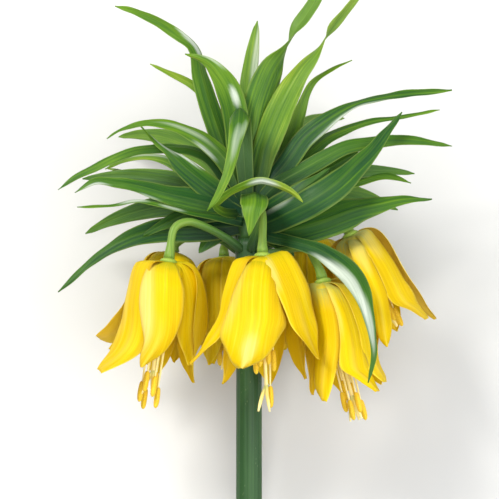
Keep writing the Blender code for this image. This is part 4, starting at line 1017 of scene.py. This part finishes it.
for number, (name, bell) in enumerate(BELLS.items(), 1):
    build = Build(name + "_tepal_whorl")
    for index in range(TEPALS):
        add_tepal(build, name, bell, index, number * 1.37 + index * 0.61)
    add_cup(build, name, bell, number * 0.37)
    build.finish(TEPAL, name + "_tepals", "tepal")

    build = Build(name + "_receptacle")
    curve(build, bell, RECEPTACLE, 8, 24, tone=0.95, seed=number)
    build.finish(STALK, name + "_tepals", "tepal")

    build = Build(name + "_pistil")
    style = bell["style"]
    curve(build, bell, OVARY, 14, 18, seed=number, ribs=3, rib_depth=0.35)
    curve(build, bell, [STYLE_START] + placed(STYLE_LINE, style), 20, 10, seed=number + 0.5)
    for k in range(3):
        angle = radians(bell["turn"] + STIGMA_TURN + 120 * k)
        curve(build, bell, placed(STIGMA_LINE, style, angle), 12, 8, seed=number + k)
    build.finish(STAMEN, name + "_stamens", "stamen")

    build = Build(name + "_filaments")
    anthers = Build(name + "_anthers")
    for k, reach in enumerate(bell["reach"]):
        angle = radians(bell["turn"] + 30 + 60 * k)
        bow = FILAMENT_BOW * sin(k * 1.9 + number)
        stops = [(3, angle, 3.8, 0.95), (4 + bow, angle, 14, 0.72)]
        stops += placed(FILAMENT_LINE, reach, angle)
        curve(build, bell, stops, 18, 8, seed=number + k * 0.3)
        stops = placed(ANTHER_LINE, reach, angle)
        curve(anthers, bell, stops, 16, 14, tone=1.0, seed=number + k * 0.7, ribs=4, rib_depth=0.42)
    build.finish(STAMEN, name + "_stamens", "stamen")
    anthers.finish(STAMEN, name + "_stamens", "stamen")

# The stalk and the bells' own stalks
STALK_RINGS = 70
STALK_TOP = 2.5  # how far under the plant's origin the stalk ends
STALK_THINS = 0.2  # on its way up
STALK_SWELLS = 0.65  # under the bells
BELL_STALK_ROOT = (0, 0, -9)
BELL_STALK_END = 4.0
BELL_STALK_R = 2.1
BELL_STALK_SWELLS = (0.5, 0.8)  # at its root and at the bell
BELL_STALK_STEPS = 30
build = Build("flower_stalk")
points = []
radii = []
for i in range(STALK_RINGS + 1):
    z = -STEM_BELOW + (STEM_BELOW - STALK_TOP) * i / STALK_RINGS
    points.append(UP * z)
    swell = STALK_SWELLS * smooth(-24.0, -6.0, z)
    radii.append(STEM_R - STALK_THINS * smooth(-STEM_BELOW, -60.0, z) + swell)
build.tube(points, radii, sides=64, tone=0.22, seed=1.0, ribs=16, rib_depth=0.22)
build.finish(STALK, "stem", "stem")
for number, (name, bell) in enumerate(BELLS.items(), 1):
    top, down, _, _ = bell_frame(bell)
    stops = [BELL_STALK_ROOT, *bell["stalk"], tuple(top - down * BELL_STALK_END), tuple(top)]
    points = [Vector(s) for s in spline(stops, BELL_STALK_STEPS)]
    radii = []
    for i in range(BELL_STALK_STEPS + 1):
        u = i / BELL_STALK_STEPS
        low, high = BELL_STALK_SWELLS
        radii.append(BELL_STALK_R + low * (1 - smooth(0.1, 0.35, u)) + high * smooth(0.86, 1.0, u))
    build = Build(name + "_stalk")
    build.tube(points, radii, sides=20, tone=0.72, seed=number * 2.3, ribs=6, rib_depth=0.14)
    build.finish(STALK, "stem", "stem")

# Floor, light and camera
FLOOR_HALF = 4.0
# Lights: place in the plant's frame, size in metres, power, colour
LIGHTS = {
    "key": ((-620, -760, 640), 0.45, 15.5, (1.0, 0.98, 0.93)),
    "fill": ((760, -700, -100), 1.0, 8.0, (0.97, 0.98, 1.0)),
    "front": ((60, -1000, -300), 0.7, 6.0, (1.0, 0.99, 0.96)),
}
SKY_COLOUR = (0.93, 0.96, 1.0, 1.0)
SKY_STRENGTH = 0.36

m = Look("floor")
m.spot = m.node("NewGeometry", {}).outputs["Position"]
cloud = m.noise((3, 3, 3), 3.0)
colour = m.ramp(cloud, [(0.3, 0.60, 0.60, 0.59), (0.7, 0.64, 0.64, 0.63)])
shader = m.node("BsdfPrincipled", {"Base Color": colour, "Roughness": 0.7})
m.node("OutputMaterial", {0: shader.outputs[0]})
corners = [(x * FLOOR_HALF, y * FLOOR_HALF, 0.0) for x, y in ((-1, -1), (1, -1), (1, 1), (-1, 1))]
mesh = bpy.data.meshes.new("floor")
mesh.from_pydata(corners, [], [(0, 1, 2, 3)])
mesh.materials.append(m.material)
new_object("floor", mesh)

crown = lay(Vector((0, 0, 0)))
for name, (spot, size, power, colour) in LIGHTS.items():
    data = bpy.data.lights.new(name, "AREA")
    data.shape = "DISK"
    data.size = size
    data.energy = power
    data.color = colour
    light = new_object(name, data)
    light.location = lay(Vector(spot))
    light.rotation_euler = (crown - light.location).to_track_quat("-Z", "Y").to_euler()
world = bpy.data.worlds.new("studio")
world.use_nodes = True
background = world.node_tree.nodes["Background"]
background.inputs["Color"].default_value = SKY_COLOUR
background.inputs["Strength"].default_value = SKY_STRENGTH
bpy.context.scene.world = world
bpy.context.scene.view_settings.view_transform = "Standard"

lens = bpy.data.cameras.new("camera")
lens.sensor_width = SENSOR_MM
lens.lens = SENSOR_MM * VIEW_DISTANCE / (FRAME_PIXELS * PIXEL_MM)
lens.clip_start = CLIP_START
camera = new_object("camera", lens)
columns = (turned(RIGHT), turned(VIEW_RISE), -turned(VIEW_DIR), lay(VIEW_EYE))
camera.matrix_world = Matrix([[column[k] for column in columns] for k in range(3)] + [[0, 0, 0, 1]])
bpy.context.scene.camera = camera
